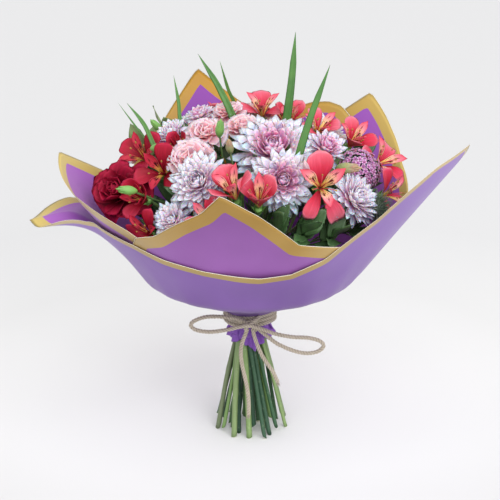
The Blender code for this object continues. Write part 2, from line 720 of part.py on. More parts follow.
class Arrangement:
    """The stems' places in the tie and the sideways bends that keep the nodes clear of each other."""

    def __init__(self, heads, cones):
        self.heads = heads
        self.places = ring_places()
        self.nodes = list(STEM_NODES)
        self.node_of = {spray: node for node, row in STEM_NODES.items() for spray in row[1]}
        self.radii = {spray: STEM_NODES[node][0] * MM for spray, node in self.node_of.items()}
        self.bends = {}
        self.packed = {}
        leans = {spray: spray_direction(spray, cones) for spray in self.node_of}
        self.sprays = sorted(leans, key=lambda spray: leans[spray][2])
        rings = [ring for ring in reversed(range(len(RING_PLACES))) for _ in range(RING_PLACES[ring])]
        self.wanted = {
            spray: unit(leans[spray][:2]) * ring * STEM_SPACING for spray, ring in zip(self.sprays, rings)
        }
        self.chosen = {}
        for spray in self.sprays:
            free = set(range(len(self.places))) - set(self.chosen.values())
            self.chosen[spray] = min(free, key=lambda i: self.away(spray, i))
        self.clouds = {node: self.cloud(node) for node in self.nodes}
        self.own = {node: self.own_cost(node) for node in self.nodes}
        self.pairs = {}
        for i, node in enumerate(self.nodes):
            for other in self.nodes[i + 1 :]:
                self.pairs[node, other] = clash(self.clouds[node], self.clouds[other])

    def away(self, spray, place):
        return np.linalg.norm(self.places[place] - self.wanted[spray])

    def place_of(self, spray):
        return self.packed.get(spray, self.places[self.chosen[spray]])

    def paths(self, spray):
        """Each centre line of a spray with its radii: the stem above the tie, then its branches."""
        points, necks = stem_path(spray, self.place_of(spray), self.heads, self.bends)
        radius = self.radii[spray]
        lines = [(points[3:], (0.95 * radius, 0.8 * radius))]
        for name, neck in necks.items():
            path = branch_path(name, points, neck, self.heads, self.bends)
            if name in self.heads:
                lines.append((path, branch_radii(self.heads[name])))
                continue
            wide = GRASS[name][1] * MM
            path = path[:2] + [np.array(point) * MM for point in GRASS[name][0]]
            lines.append((path, (1.2 * MM, 0.45 * wide, 0.5 * wide, 0.4 * wide, 0)))
        return lines

    def cloud(self, node):
        parts = [sample(path, radii) for spray in STEM_NODES[node][1] for path, radii in self.paths(spray)]
        return np.vstack([part[0] for part in parts]), np.concatenate([part[1] for part in parts])

    def own_cost(self, node):
        """Distance from the wanted places, stems apart from their node, and blooms that are pierced."""
        sprays = STEM_NODES[node][1]
        cost = sum((self.away(spray, self.chosen[spray]) / MM) ** 2 for spray in sprays) * 0.05
        spots = [self.places[self.chosen[spray]] for spray in sprays]
        joined = [spots.pop()]
        while spots:
            gaps = [min(np.linalg.norm(spot - other) for other in joined) for spot in spots]
            nearest = int(np.argmin(gaps))
            cost += 400 * max(gaps[nearest] / STEM_SPACING - 1.13, 0)
            joined.append(spots.pop(nearest))
        others = [head for head in self.heads.values() if self.node_of[head.spray] != node]
        blooms = [head for head in others if head.kind != "leaf"]
        centres = np.array([head.centre for head in blooms])
        radii = np.array([head.radius * BLOOM_SHARE for head in blooms])
        return cost + clash(self.clouds[node], (centres, radii))

    def total(self):
        return sum(self.pairs.values()) + sum(self.own.values())

    def attempt(self, changed, before):
        """Works the changed nodes out anew, and keeps the change only if it lowers the cost."""
        clouds, own, pairs = dict(self.clouds), dict(self.own), dict(self.pairs)
        for node in changed:
            self.clouds[node] = self.cloud(node)
            self.own[node] = self.own_cost(node)
        for pair in self.pairs:
            if changed & set(pair):
                self.pairs[pair] = clash(self.clouds[pair[0]], self.clouds[pair[1]])
        after = self.total()
        if after < before - 1e-6:
            return after
        self.clouds, self.own, self.pairs = clouds, own, pairs
        return before

    def settle(self):
        """Exchanges places while that helps, spray by spray."""
        cost = self.total()
        previous = math.inf
        while cost < previous - 1e-6:
            previous = cost
            for spray in self.sprays:
                for place in range(len(self.places)):
                    if place == self.chosen[spray] or self.away(spray, place) > FURTHEST_PLACE:
                        continue
                    kept = dict(self.chosen)
                    held = next((other for other in self.sprays if self.chosen[other] == place), None)
                    if held is not None:
                        self.chosen[held] = self.chosen[spray]
                    self.chosen[spray] = place
                    changed = {self.node_of[name] for name in (spray, held) if name is not None}
                    lower = self.attempt(changed, cost)
                    if lower == cost:
                        self.chosen = kept
                    cost = lower

    def pack(self):
        """Draws the stems together in the tie like discs: neighbours touch, those of a node overlap."""
        names = list(self.sprays)
        spots = np.array([self.places[self.chosen[name]] for name in names])
        radii = np.array([self.radii[name] for name in names])
        same = np.array([[self.node_of[a] == self.node_of[b] for b in names] for a in names])
        sums = radii[:, None] + radii[None]
        apart = np.where(same, FUSED_SHARE * sums, sums + CLEARANCE)
        linked = np.zeros_like(same)
        for node in self.nodes:
            members = [i for i, name in enumerate(names) if self.node_of[name] == node]
            joined = members[:1]
            while len(joined) < len(members):
                rest = [i for i in members if i not in joined]
                gaps = np.linalg.norm(spots[rest][:, None] - spots[joined][None], axis=2)
                row, column = np.unravel_index(int(gaps.argmin()), gaps.shape)
                linked[rest[row], joined[column]] = linked[joined[column], rest[row]] = True
                joined.append(rest[row])
        for step in range(PACK_ROUNDS):
            calm = 1 - step / PACK_ROUNDS
            spots = spots * (1 - 0.02 * calm)
            for _ in range(6):
                offsets = spots[:, None] - spots[None]
                gaps = np.linalg.norm(offsets, axis=2) + np.eye(len(names))
                push = np.where(gaps < apart, apart - gaps, 0)
                push = np.where(linked & (gaps > apart), apart - gaps, push)
                np.fill_diagonal(push, 0)
                spots = spots + (offsets / gaps[:, :, None] * push[:, :, None]).sum(axis=1) * 0.3
        self.packed = dict(zip(names, spots))
        print("bundle radius in mm:", (np.linalg.norm(spots, axis=1) + radii).max() / MM)
        for node in self.nodes:
            self.clouds[node] = self.cloud(node)
            self.own[node] = self.own_cost(node)
        for pair in self.pairs:
            self.pairs[pair] = clash(self.clouds[pair[0]], self.clouds[pair[1]])

    def bend_clear(self):
        """Bends forks and branches a little at random, keeping each bend that leaves less overlap."""
        cost = self.total()
        for _ in range(MOST_BEND_TRIES):
            crossing = [pair for pair, overlap in self.pairs.items() if overlap > 0]
            if not crossing:
                break
            node = rng.choice(rng.choice(crossing))
            spray = rng.choice(STEM_NODES[node][1])
            name = rng.choice([spray] + spray_heads(spray))
            kept = dict(self.bends)
            bend = self.bends.get(name, np.zeros(3)) + np.array([rng.gauss(0, BEND_STEP) for _ in range(3)])
            if np.linalg.norm(bend) > MOST_BEND:
                continue
            self.bends[name] = bend
            lower = self.attempt({node}, cost)
            if lower == cost:
                self.bends = kept
            cost = lower


def branch_radii(head):
    thin = 0.65 if head.kind in GREEN_KINDS else 1
    return [PEDICEL_RADIUS * thin * share for share in (0.85, 1.0, 1.0, 1.0)]


def sample(path, radii):
    """Points along a centre line at an even spacing, with the radius at each."""
    points, sizes = [], []
    for start, end, wide, narrow in zip(path, path[1:], radii, radii[1:]):
        count = max(int(np.linalg.norm(end - start) / SAMPLE_STEP), 1)
        shares = np.linspace(0, 1, count + 1)[:, None]
        points.append(start * (1 - shares) + end * shares)
        sizes.append((wide * (1 - shares) + narrow * shares)[:, 0])
    return np.vstack(points), np.concatenate(sizes)


def clash(one, other):
    """How far two clouds of balls reach into each other, in square millimetres."""
    (a, wide), (b, narrow) = one, other
    gaps = (a * a).sum(axis=1)[:, None] + (b * b).sum(axis=1)[None] - 2 * a @ b.T
    needed = wide[:, None] + narrow[None] + CLEARANCE
    near = gaps < needed**2
    if not near.any():
        return 0.0
    return float(((needed[near] - np.sqrt(np.maximum(gaps[near], 0))) ** 2).sum() / MM**2)


def tube_rings(points, radii, sides, level_start=0):
    """Rings along a path, square to it; the first ones may be kept horizontal."""
    rings = []
    for i, centre in enumerate(points):
        ahead = unit(points[min(i + 1, len(points) - 1)] - points[max(i - 1, 0)])
        normal = UP if i < level_start else ahead
        x = unit(np.cross((0, 1, 0.001), normal))
        y = np.cross(normal, x)
        angles = [2 * math.pi * k / sides for k in range(sides)]
        rings.append([centre + (x * math.cos(a) + y * math.sin(a)) * radii[i] for a in angles])
    return rings


def bezier(points, count):
    """Points along a cubic Bezier curve."""
    a, b, c, d = (np.array(point, float) for point in points)
    shares = np.linspace(0, 1, count)[:, None]
    rest = 1 - shares
    return rest**3 * a + 3 * rest**2 * shares * b + 3 * rest * shares**2 * c + shares**3 * d


def calyx_of(head):
    """(length, foot radius, top radius) of the green cup under a bloom."""
    r = head.radius
    return {
        "mum": (0.16 * r, 1.8 * MM, 0.17 * r),
        "rose": (0.3 * r, 2.4 * MM, 0.22 * r),
        "carnation": (0.7 * r, 2.4 * MM, 0.2 * r),
        "floret": (0.2 * r, 1.8 * MM, 0.2 * r),
    }.get(head.kind, (0.3 * r, 2.2 * MM, 0.12 * r))


def leaf_piece(root, tip, face, wide, planes):
    """A pointed oval leaf, kept in its cell."""
    length = np.linalg.norm(tip - root)
    along = (tip - root) / length
    side = unit(np.cross(along, face))
    normal = np.cross(side, along)
    arch = ((0, 0), (0.38, 0.05), (0.7, 0.04))
    path = [root + (along * share + normal * sag) * length for share, sag in arch]
    path.append(tip - normal * 0.04 * length)
    widths = (0, wide, 0.8 * wide)
    cups = (0, 0.08 * wide, 0.06 * wide)
    rings = blade_rings(path[:-1], widths, (0, 1.0 * MM, 0.9 * MM), cups, side, 4)
    piece = loft(rings[1:], path[-1], root)
    set_points(piece, squash_into(points_of(piece), root, planes))
    return piece


def head_greens(head, neck):
    """The green pieces of one head from its pedicel's end: cup, bud, leaves or thistle."""
    r = head.radius
    if head.kind == "bud":
        profile = ((0.16 * r, -1.0 * r), (0.5 * r, -0.45 * r), (0.55 * r, 0.2 * r), (0.3 * r, 0.75 * r))
        bud = head.core(profile, 6, 1.1 * r)
        head.squash(bud)
        return [bud]
    if head.kind == "leaf":
        face = head.axis
        grow = unit(head.centre - FOCUS)
        pieces = []
        for turn, share in ((0.0, 1.0), (-0.75, 0.85), (0.75, 0.85)):
            across = unit(np.cross(grow, face))
            along = unit(grow * math.cos(turn) + across * math.sin(turn))
            tip = neck + along * 2.1 * r * share
            pieces.append(leaf_piece(neck - grow * 1.0 * MM, tip, face, 0.95 * r, head.planes))
        return pieces
    if head.kind == "thistle":
        pieces = thistle_pieces(head)
        for piece in pieces:
            head.squash(piece)
        return pieces
    return []


def neck_of(head):
    """Where a head's pedicel ends."""
    if head.kind == "bud":
        return head.base - head.axis * 0.3 * head.radius
    if head.kind == "leaf":
        return head.centre - unit(head.centre - FOCUS) * 0.95 * head.radius
    if head.kind == "thistle":
        return head.base - head.axis * 0.15 * head.radius
    return head.base - head.axis * (calyx_of(head)[0] + SEAT_GAP)


def grass_piece(name, start, lead):
    points, width, _ = GRASS[name]
    path = [start, lead] + [np.array(point) * MM for point in points]
    wide = width * MM
    side = unit(np.cross(path[-1] - path[1], FRONT))
    widths = (2.2 * MM, 0.8 * wide, wide, 0.72 * wide)
    thicknesses = (1.6 * MM, 1.3 * MM, 1.2 * MM, 1.0 * MM)
    cups = [0.12 * width for width in widths]
    rings = blade_rings(path[:-1], widths, thicknesses, cups, side, 3)
    return loft(rings, path[-1])


def branch_piece(head, path, neck):
    """A branch that ends in the cup under its bloom, whose rim lies a seat's gap below the petals."""
    rings = tube_rings(path, branch_radii(head), PEDICEL_SIDES)
    if head.kind not in GREEN_KINDS:
        _, foot, top = calyx_of(head)
        rings[-1] = level_ring(head, neck, foot, rings[-1])
        rings.append(level_ring(head, head.base - head.axis * SEAT_GAP, top, rings[-1]))
    return loft(rings)


def level_ring(head, centre, radius, before):
    """A ring square to the head's axis, its corners in line with those of the ring before it."""
    first = np.array(before[0]) - np.mean(before, axis=0)
    x = unit(first - (first @ head.axis) * head.axis)
    y = np.cross(head.axis, x)
    angles = [2 * math.pi * k / PEDICEL_SIDES for k in range(PEDICEL_SIDES)]
    return [centre + (x * math.cos(a) + y * math.sin(a)) * radius for a in angles]


def spray_pieces(spray, radius, arrangement):
    """One cut stem, its branches, and the green parts of its heads."""
    heads = arrangement.heads
    bends = arrangement.bends
    points, necks = stem_path(spray, arrangement.place_of(spray), heads, bends)
    radii = [radius * MM * share for share in (1.05, 1.0, 1.0, 0.95, 0.8)]
    pieces = [loft(tube_rings(points, radii, STEM_SIDES, level_start=4))]
    for name, neck in necks.items():
        path = branch_path(name, points, neck, heads, bends)
        if name not in heads:
            pieces.append(grass_piece(name, path[0], path[1]))
            continue
        head = heads[name]
        pieces.append(branch_piece(head, path, neck))
        pieces += head_greens(head, neck)
        if head.kind in LEAFY:
            root = path[2]
            outward = unit(root - FOCUS)
            tip = root + unit(outward * 0.9 + np.array((outward[0], outward[1], 0)) * 0.6) * 0.9 * head.radius
            under = head.planes + [(head.axis, head.axis @ head.base - UNDER_BLOOM)]
            room = min(limit - normal @ root for normal, limit in under)
            if room > LEAF_ROOM:
                pieces.append(leaf_piece(root, tip, unit(head.axis + 0.3 * outward), LEAF_WIDTH, under))
    return pieces


def build_stems(heads, cones):
    arrangement = Arrangement(heads, cones)
    arrangement.settle()
    arrangement.pack()
    arrangement.bend_clear()
    left = {pair: round(overlap, 2) for pair, overlap in arrangement.pairs.items() if overlap > 0}
    print("stems still touching:", left, "bends:", len(arrangement.bends))
    for node, (radius, sprays) in STEM_NODES.items():
        pieces = []
        for spray in sprays:
            pieces += spray_pieces(spray, radius, arrangement)
        green = "leaf_green" if node.startswith("ruscus") else "stem_green"
        fuse(node, pieces, materials[green])


# The film wrap


def edge_height(edge, degrees):
    angles = [row[0] for row in edge]
    heights = [row[1] for row in edge]
    return float(np.interp(degrees, angles, heights)) * MM


def film_column(degrees, top, layer, flap):
    """Points up one column of a sheet: tie, neck, crease, then the flare, bent out where it is a flap."""
    angle = math.radians(degrees)
    step = layer * LAYER_STEP
    out = unit(film_point(degrees, CREASE_HEIGHT) * (1, 1, 0))
    steep = slope_at(angle)
    waist = FILM_WAIST_RADIUS
    crease = film_point(degrees, CREASE_HEIGHT)
    rise = math.atan2(CREASE_HEIGHT - FILM_NECK, CREASE_RADIUS - waist)
    flare = math.atan2(1, steep)
    low_turn = (math.pi / 2 + rise) / 2
    points = [out * (waist + step) + UP * FILM_FOOT]
    mitre = step / math.cos((math.pi / 2 - rise) / 2)
    points.append(out * (waist + mitre * math.sin(low_turn)) + UP * (FILM_NECK - mitre * math.cos(low_turn)))
    mid = (rise + flare) / 2
    mitre = step / math.cos((flare - rise) / 2)
    points.append(crease + out * mitre * math.sin(mid) - UP * mitre * math.cos(mid))
    high = film_point(degrees, top)
    slant = high - crease
    bend = (flap or 0) * FLAP_BEND
    normal_shift = (out * math.sin(flare) - UP * math.cos(flare)) * step
    at = crease + slant * 0.4 + normal_shift
    points.append(at)
    for turned in (0.55, 1.0) if flap is not None else (0,):
        lean = flare - bend * turned
        share = 0.3 if flap is not None else 0.6
        at = at + (out * math.cos(lean) + UP * math.sin(lean)) * np.linalg.norm(slant) * share
        points.append(at)
    return points


def grid_object(name, columns):
    """An open surface through columns of points."""
    mesh = bmesh.new()
    rows = [[mesh.verts.new(point) for point in column] for column in columns]
    for left, right in zip(rows, rows[1:]):
        for low in range(len(left) - 1):
            mesh.faces.new((left[low], right[low], right[low + 1], left[low + 1]))
    data = bpy.data.meshes.new(name)
    mesh.to_mesh(data)
    mesh.free()
    obj = bpy.data.objects.new(name, data)
    bouquet.objects.link(obj)
    return obj


def thicken(obj, thickness):
    solid = obj.modifiers.new("film", "SOLIDIFY")
    solid.thickness = thickness
    solid.offset = 0
    solid.use_even_offset = True
    obj.data.materials.append(materials["film_violet"])


def build_film():
    for name, (layer, edge) in FILM_SHEETS.items():
        first, last = edge[0][0], edge[-1][0]
        grid = [d for d in range(-360, 361, COLUMN_DEGREES) if first < d < last]
        keys = [row[0] for row in edge]
        ends = (first, last)
        off = {key: min(key % COLUMN_DEGREES, -key % COLUMN_DEGREES) for key in keys}
        kept = [key for key in keys if key in ends or off[key] > NEAR_COLUMN]
        columns = []
        for degrees in sorted(set(grid + kept)):
            flap = smoothstep(-degrees, *FLAP_BEGINS_AND_ENDS) if layer == FLAP_LAYER else None
            columns.append(film_column(degrees, edge_height(edge, degrees), layer, flap))
        thicken(grid_object(name, columns), FILM_THICKNESS)


def build_skirt():
    """The sheets' ends bunched below the tie: thick where they leave it, thin and lobed at the hem."""
    inner = FILM_WAIST_RADIUS - SKIRT_OVERHANG
    outer = FILM_WAIST_RADIUS + (len(FILM_SHEETS) - 1) * LAYER_STEP + SKIRT_OVERHANG
    columns = []
    for i in range(SKIRT_COLUMNS):
        angle = 2 * math.pi * i / SKIRT_COLUMNS
        aside = (math.degrees(angle) - SKIRT_LOBE_DEGREES + 180) % 360 - 180
        lobe = math.exp(-((aside / SKIRT_LOBE_WIDTH) ** 2))
        low = SKIRT_HEM + SKIRT_HEM_RUNS * math.cos(3 * angle + 1.0) - SKIRT_LOBE * lobe
        hem = 0.5 * (inner + outer) + SKIRT_FLARE + SKIRT_WAVE * math.cos(5 * angle - 0.4)
        middle = 0.55 * SKIRT_TOP + 0.45 * low
        profile = (
            (inner, SKIRT_TOP),
            (outer, SKIRT_TOP),
            (hem + SKIRT_MIDDLE_HALF, middle),
            (hem + HEM_THICKNESS, low),
            (hem - HEM_THICKNESS, low),
            (hem - SKIRT_MIDDLE_HALF, middle),
        )
        out = np.array((math.sin(angle), -math.cos(angle), 0))
        columns.append([out * radius + UP * height for radius, height in profile])
    turned_object("wrap_skirt", columns, "film_violet", bouquet)


def turned_object(name, columns, material, collection):
    """A closed ring through columns of points, each column a closed outline."""
    mesh = bmesh.new()
    rows = [[mesh.verts.new(point) for point in column] for column in columns]
    for left, right in zip(rows, rows[1:] + rows[:1]):
        for i in range(len(left)):
            j = (i + 1) % len(left)
            mesh.faces.new((left[i], left[j], right[j], right[i]))
    bmesh.ops.recalc_face_normals(mesh, faces=mesh.faces)
    data = bpy.data.meshes.new(name)
    mesh.to_mesh(data)
    mesh.free()
    data.materials.append(materials[material])
    obj = bpy.data.objects.new(name, data)
    collection.objects.link(obj)
    return obj


# The twine


def smooth_route(route, spacing):
    """Points at even spacing along a Catmull-Rom curve through the route."""
    route = np.array(route, float) * MM
    padded = np.vstack((2 * route[0] - route[1], route, 2 * route[-1] - route[-2]))
    fine = []
    for i in range(1, len(padded) - 2):
        a, b, c, d = padded[i - 1 : i + 3]
        square = 2 * a - 5 * b + 4 * c - d
        cube = 3 * b - a - 3 * c + d
        for t in np.linspace(0, 1, 12, endpoint=False):
            fine.append(0.5 * (2 * b + (c - a) * t + square * t**2 + cube * t**3))
    fine.append(route[-1])
    fine = np.array(fine)
    lengths = np.concatenate(([0], np.cumsum(np.linalg.norm(np.diff(fine, axis=0), axis=1))))
    count = max(int(round(lengths[-1] / spacing)), 3)
    even = np.linspace(0, lengths[-1], count + 1)
    return np.column_stack([np.interp(even, lengths, fine[:, k]) for k in range(3)])


def cord_object(name, route):
    points = smooth_route(route, TWINE_POINT_SPACING)
    curve = bpy.data.curves.new(name, "CURVE")
    curve.dimensions = "3D"
    curve.bevel_depth = TWINE_RADIUS
    curve.bevel_resolution = 2
    curve.use_fill_caps = True
    spline = curve.splines.new("POLY")
    spline.points.add(len(points) - 1)
    for spot, point in zip(spline.points, points):
        spot.co = (*point, 1)
    obj = bpy.data.objects.new(name, curve)
    obj.data.materials.append(materials["jute"])
    bouquet.objects.link(obj)
    return obj


def build_twine():
    """Turns of twine round the neck of the film, with the knot in front."""
    turns = []
    half = TWINE_TURNS * TWINE_RADIUS
    inside = BINDING_RADIUS - TWINE_RADIUS
    turns.append((inside, BINDING_HEIGHT + half - 0.6 * MM))
    for turn in range(TWINE_TURNS):
        middle = BINDING_HEIGHT + half - TWINE_RADIUS * (2 * turn + 1)
        for angle in (50, -50):
            a = math.radians(angle)
            out = BINDING_RADIUS + TWINE_RADIUS * math.cos(a)
            turns.append((out, middle + TWINE_RADIUS * math.sin(a)))
    turns.append((inside, BINDING_HEIGHT - half + 0.6 * MM))
    rings = []
    for i in range(BINDING_STEPS):
        angle = 2 * math.pi * i / BINDING_STEPS
        out = (math.sin(angle), -math.cos(angle))
        rings.append([(radius * out[0], radius * out[1], height) for radius, height in turns])
    ring = turned_object("binding", rings, "jute", joining)
    knot = bmesh.new()
    bmesh.ops.create_uvsphere(knot, u_segments=8, v_segments=6, radius=1)
    shape = Matrix.LocRotScale(KNOT_CENTRE, None, KNOT_RADII)
    bmesh.ops.transform(knot, matrix=shape, verts=knot.verts)
    data = bpy.data.meshes.new("knot")
    knot.to_mesh(data)
    knot.free()
    knot_object = bpy.data.objects.new("knot", data)
    joining.objects.link(knot_object)
    fuse("twine_binding", [ring, knot_object], materials["jute"])
    cord_object("twine_bow", BOW_ROUTE)
    cord_object("twine_tail_left", TAIL_LEFT_ROUTE)
    cord_object("twine_tail_right", TAIL_RIGHT_ROUTE)


def centre_on_footprint():
    """Moves the model so that the middle of its box, without the loose twine, stands over the origin."""
    bpy.context.view_layer.update()
    graph = bpy.context.evaluated_depsgraph_get()
    corners = []
    for obj in bouquet.objects:
        if obj.type == "MESH":
            mesh = obj.evaluated_get(graph).to_mesh()
            corners += [tuple(vertex.co) for vertex in mesh.vertices]
            obj.evaluated_get(graph).to_mesh_clear()
    corners = np.array(corners)
    middle = (corners.min(axis=0) + corners.max(axis=0)) / 2
    shift = (-middle[0], -middle[1], -corners[:, 2].min())
    for obj in bouquet.objects:
        obj.location = shift
    return shift


clear_scene()
rng = random.Random(7)
bouquet = new_collection("chrysanthemum_bouquet")
joining = new_collection("pieces_to_join")
materials = {name: make_material(name) for name in COLOURS}
cones = head_cones()
walls = wall_planes()
heads = {name: Head(name, cones, walls) for name in HEADS}
build_blooms(heads)
build_stems(heads, cones)
build_film()
build_skirt()
build_twine()
bpy.data.collections.remove(joining)
print("axis of the bouquet at", centre_on_footprint())
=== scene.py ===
import itertools
import math

import bpy
import numpy as np
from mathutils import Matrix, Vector


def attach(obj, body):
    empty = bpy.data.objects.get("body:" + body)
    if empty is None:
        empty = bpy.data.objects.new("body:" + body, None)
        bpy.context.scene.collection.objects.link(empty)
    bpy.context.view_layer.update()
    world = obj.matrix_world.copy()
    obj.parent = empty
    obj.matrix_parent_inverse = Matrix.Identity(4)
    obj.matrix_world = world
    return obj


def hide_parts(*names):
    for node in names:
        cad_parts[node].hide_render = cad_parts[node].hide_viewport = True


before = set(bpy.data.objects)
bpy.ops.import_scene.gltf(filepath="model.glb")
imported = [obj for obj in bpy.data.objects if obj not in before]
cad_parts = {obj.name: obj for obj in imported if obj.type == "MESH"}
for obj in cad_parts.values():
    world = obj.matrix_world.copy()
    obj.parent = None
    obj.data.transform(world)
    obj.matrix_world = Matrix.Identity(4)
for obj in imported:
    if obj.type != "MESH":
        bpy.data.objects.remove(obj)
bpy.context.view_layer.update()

# Dressing of the hand-tied bouquet: fine petals, leaves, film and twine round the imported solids.
# Lengths are in metres unless a name or a note says mm.

mm = 0.001
axisAt = np.array((3.79, -3.57, 0.0)) * mm  # the bouquet's own upright axis, in the frame
focus = axisAt + (0, 0, 170 * mm)  # the heads fan out from here
upward = np.array((0.0, 0.0, 1.0))
goldenAngle = math.pi * (3 - math.sqrt(5))


def hexColour(code):
    # sRGB code to linear colour
    channels = np.array([int(code[i:i + 2], 16) / 255 for i in (0, 2, 4)])
    linear = np.where(channels <= 0.04045, channels / 12.92, ((channels + 0.055) / 1.055) ** 2.4)
    return (*linear.tolist(), 1.0)


def unit(vectors):
    vectors = np.asarray(vectors, float)
    return vectors / np.maximum(np.linalg.norm(vectors, axis=-1, keepdims=True), 1e-12)


def smoothStep(value, low, high):
    share = np.clip((value - low) / (high - low), 0, 1)
    return share * share * (3 - 2 * share)


def axesFor(facing, spin=0.0):
    # columns: side, up, facing; spin turns the first two about the third
    z = unit(facing)
    x = unit(np.cross(upward, z))
    y = np.cross(z, x)
    c, s = math.cos(spin), math.sin(spin)
    return np.column_stack((x * c + y * s, y * c - x * s, z))


def addObject(name, data):
    made = bpy.data.objects.new(name, data)
    bpy.context.scene.collection.objects.link(made)
    return made


# Camera

photo = {
    "elevation": 20.0,  # degrees that the camera looks down
    "distance": 1.8,
    "metresPerPixel": 1.08e-3,
    "widthPx": 500,
    "floorMiddlePy": 424,  # pixel row of the point where the axis meets the floor
    "sensorMm": 36.0,
}


def makeCamera():
    tilt = math.radians(photo["elevation"])
    ahead = np.array((0, math.cos(tilt), -math.sin(tilt)))
    up = np.array((0, math.sin(tilt), math.cos(tilt)))
    lift = (photo["floorMiddlePy"] - photo["widthPx"] / 2) * photo["metresPerPixel"]
    data = bpy.data.cameras.new("camera")
    data.sensor_width = photo["sensorMm"]
    data.lens = photo["sensorMm"] * photo["distance"] / (photo["widthPx"] * photo["metresPerPixel"])
    camera = addObject("camera", data)
    camera.location = axisAt + up * lift - ahead * photo["distance"]
    camera.rotation_euler = (math.radians(90 - photo["elevation"]), 0, 0)
    bpy.context.scene.camera = camera


makeCamera()


# Mesh building: every shape is a grid of points, closed into a thin shell or a rod

def shellPart(points, thickness, tone=0.0, slot=0, backSlot=None, edge=0.0):
    # grids (n, rows, cols, 3): the back is the front moved along its normals, and both share their rim
    n, rows, cols, _ = points.shape
    inner = (slice(None), slice(1, -1), slice(1, -1))
    normal = unit(np.cross(np.gradient(points, axis=2), np.gradient(points, axis=1)))
    back = points[inner] - normal[inner] * thickness
    front = np.arange(n * rows * cols).reshape(n, rows, cols)
    behind = front.copy()
    behind[inner] = front.size + np.arange(back.size // 3).reshape(back.shape[:3])
    corners = ((0, 0), (0, 1), (1, 1), (1, 0))
    first, second = (
        np.stack([index[:, i:i + rows - 1, j:j + cols - 1].ravel() for i, j in order], axis=1)
        for index, order in ((front, corners), (behind, corners[::-1])))
    part = {
        "points": np.vstack((points.reshape(-1, 3), back.reshape(-1, 3))),
        "quads": np.vstack((first, second)),
        "tris": np.zeros((0, 3), int),
        "slots": np.repeat((slot, slot if backSlot is None else backSlot), len(first)),
    }
    across, along = np.linspace(0, 1, cols), np.linspace(0, 1, rows)[:, None]
    for key, value in (("u", across), ("v", along), ("tone", np.reshape(tone, (-1, 1, 1))), ("edge", edge)):
        grid = np.broadcast_to(value, front.shape)
        part[key] = np.concatenate((grid.ravel(), grid[inner].ravel()))
    return part


def carried(ahead, before):
    # two normals to each direction of a path, carried along it without twist
    normal = np.zeros_like(ahead)
    for row in range(ahead.shape[-2]):
        here = ahead[..., row, :]
        before = unit(before - (before * here).sum(-1, keepdims=True) * here)
        normal[..., row, :] = before
    return normal, np.cross(ahead, normal)


def rodPart(paths, radii, sides, tone=0.0, slot=0):
    # rings square to each path, and a point to close each end
    n, rows, _ = paths.shape
    ahead = unit(np.gradient(paths, axis=1))
    steep = np.abs(ahead[:, 0, 2:3]) > 0.8
    normal, binormal = carried(ahead, np.where(steep, (1.0, 0.2, 0), (0.1, 0.2, 1.0)))
    angles = 2 * math.pi * np.arange(sides)[:, None] / sides
    around = np.cos(angles) * normal[:, :, None] + np.sin(angles) * binormal[:, :, None]
    rings = paths[:, :, None] + around * np.broadcast_to(radii, (n, rows))[:, :, None, None]
    index = np.arange(n * rows * sides).reshape(n, rows, sides)
    onward = np.roll(index, -1, axis=2)
    quads = np.stack((index[:, :-1], onward[:, :-1], onward[:, 1:], index[:, 1:]), axis=-1).reshape(-1, 4)
    poles = np.broadcast_to(index.size + np.arange(2 * n).reshape(2, n, 1), (2, n, sides))
    fans = np.array(((poles[0], onward[:, 0], index[:, 0]), (poles[1], index[:, -1], onward[:, -1])))
    tris = np.moveaxis(fans, 1, -1).reshape(-1, 3)
    part = {
        "points": np.vstack((rings.reshape(-1, 3), paths[:, 0], paths[:, -1])),
        "quads": quads,
        "tris": tris,
        "slots": np.full(len(quads) + len(tris), slot),
    }
    tone = np.broadcast_to(np.reshape(tone, (-1, 1, 1)), (n, 1, 1))
    for key, value, ends in (
        ("u", np.arange(sides) / sides, 0.5), ("v", np.linspace(0, 1, rows)[:, None], np.repeat((0, 1), n)),
        ("tone", tone, np.tile(tone.ravel(), 2)), ("edge", 0.0, 0.0),
    ):
        body = np.broadcast_to(value, index.shape).ravel()
        part[key] = np.concatenate((body, np.broadcast_to(ends, 2 * n)))
    return part


def makePiece(name, parts, fills, replaced=None):
    # one mesh object at the origin from several parts, with a UV map and two attributes
    fields = ("points", "u", "v", "tone", "edge")
    joined = {key: np.concatenate([part[key] for part in parts]) for key in fields}
    offsets = np.cumsum([0] + [len(part["points"]) for part in parts])
    quads, tris = (
        np.vstack([part[key] + offset for part, offset in zip(parts, offsets)]) for key in ("quads", "tris"))
    slots = [part["slots"][:len(part["quads"])] for part in parts]
    slots += [part["slots"][len(part["quads"]):] for part in parts]
    corners = np.concatenate((quads.ravel(), tris.ravel()))
    starts = np.concatenate((np.arange(len(quads)) * 4, quads.size + np.arange(len(tris)) * 3))
    mesh = bpy.data.meshes.new(name)
    mesh.vertices.add(len(joined["points"]))
    mesh.loops.add(len(corners))
    mesh.polygons.add(len(starts))
    for items, key, values, kind in (
        (mesh.vertices, "co", joined["points"], np.float32),
        (mesh.loops, "vertex_index", corners, np.int32),
        (mesh.polygons, "loop_start", starts, np.int32),
        (mesh.polygons, "material_index", np.concatenate(slots), np.int32),
        (mesh.polygons, "use_smooth", np.ones(len(starts)), bool),
    ):
        items.foreach_set(key, values.astype(kind).ravel())
    mesh.update(calc_edges=True)
    flat = np.stack((joined["u"], joined["v"]), axis=1)[corners]
    mesh.uv_layers.new(name="UVMap").data.foreach_set("uv", flat.astype(np.float32).ravel())
    for key in ("tone", "edge"):
        attribute = mesh.attributes.new(key, "FLOAT", "POINT")
        attribute.data.foreach_set("value", joined[key].astype(np.float32))
    for fill in fills:
        mesh.materials.append(materials[fill])
    piece = addObject(name, mesh)
    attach(piece, "root")
    if replaced:
        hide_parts(replaced)
    return piece


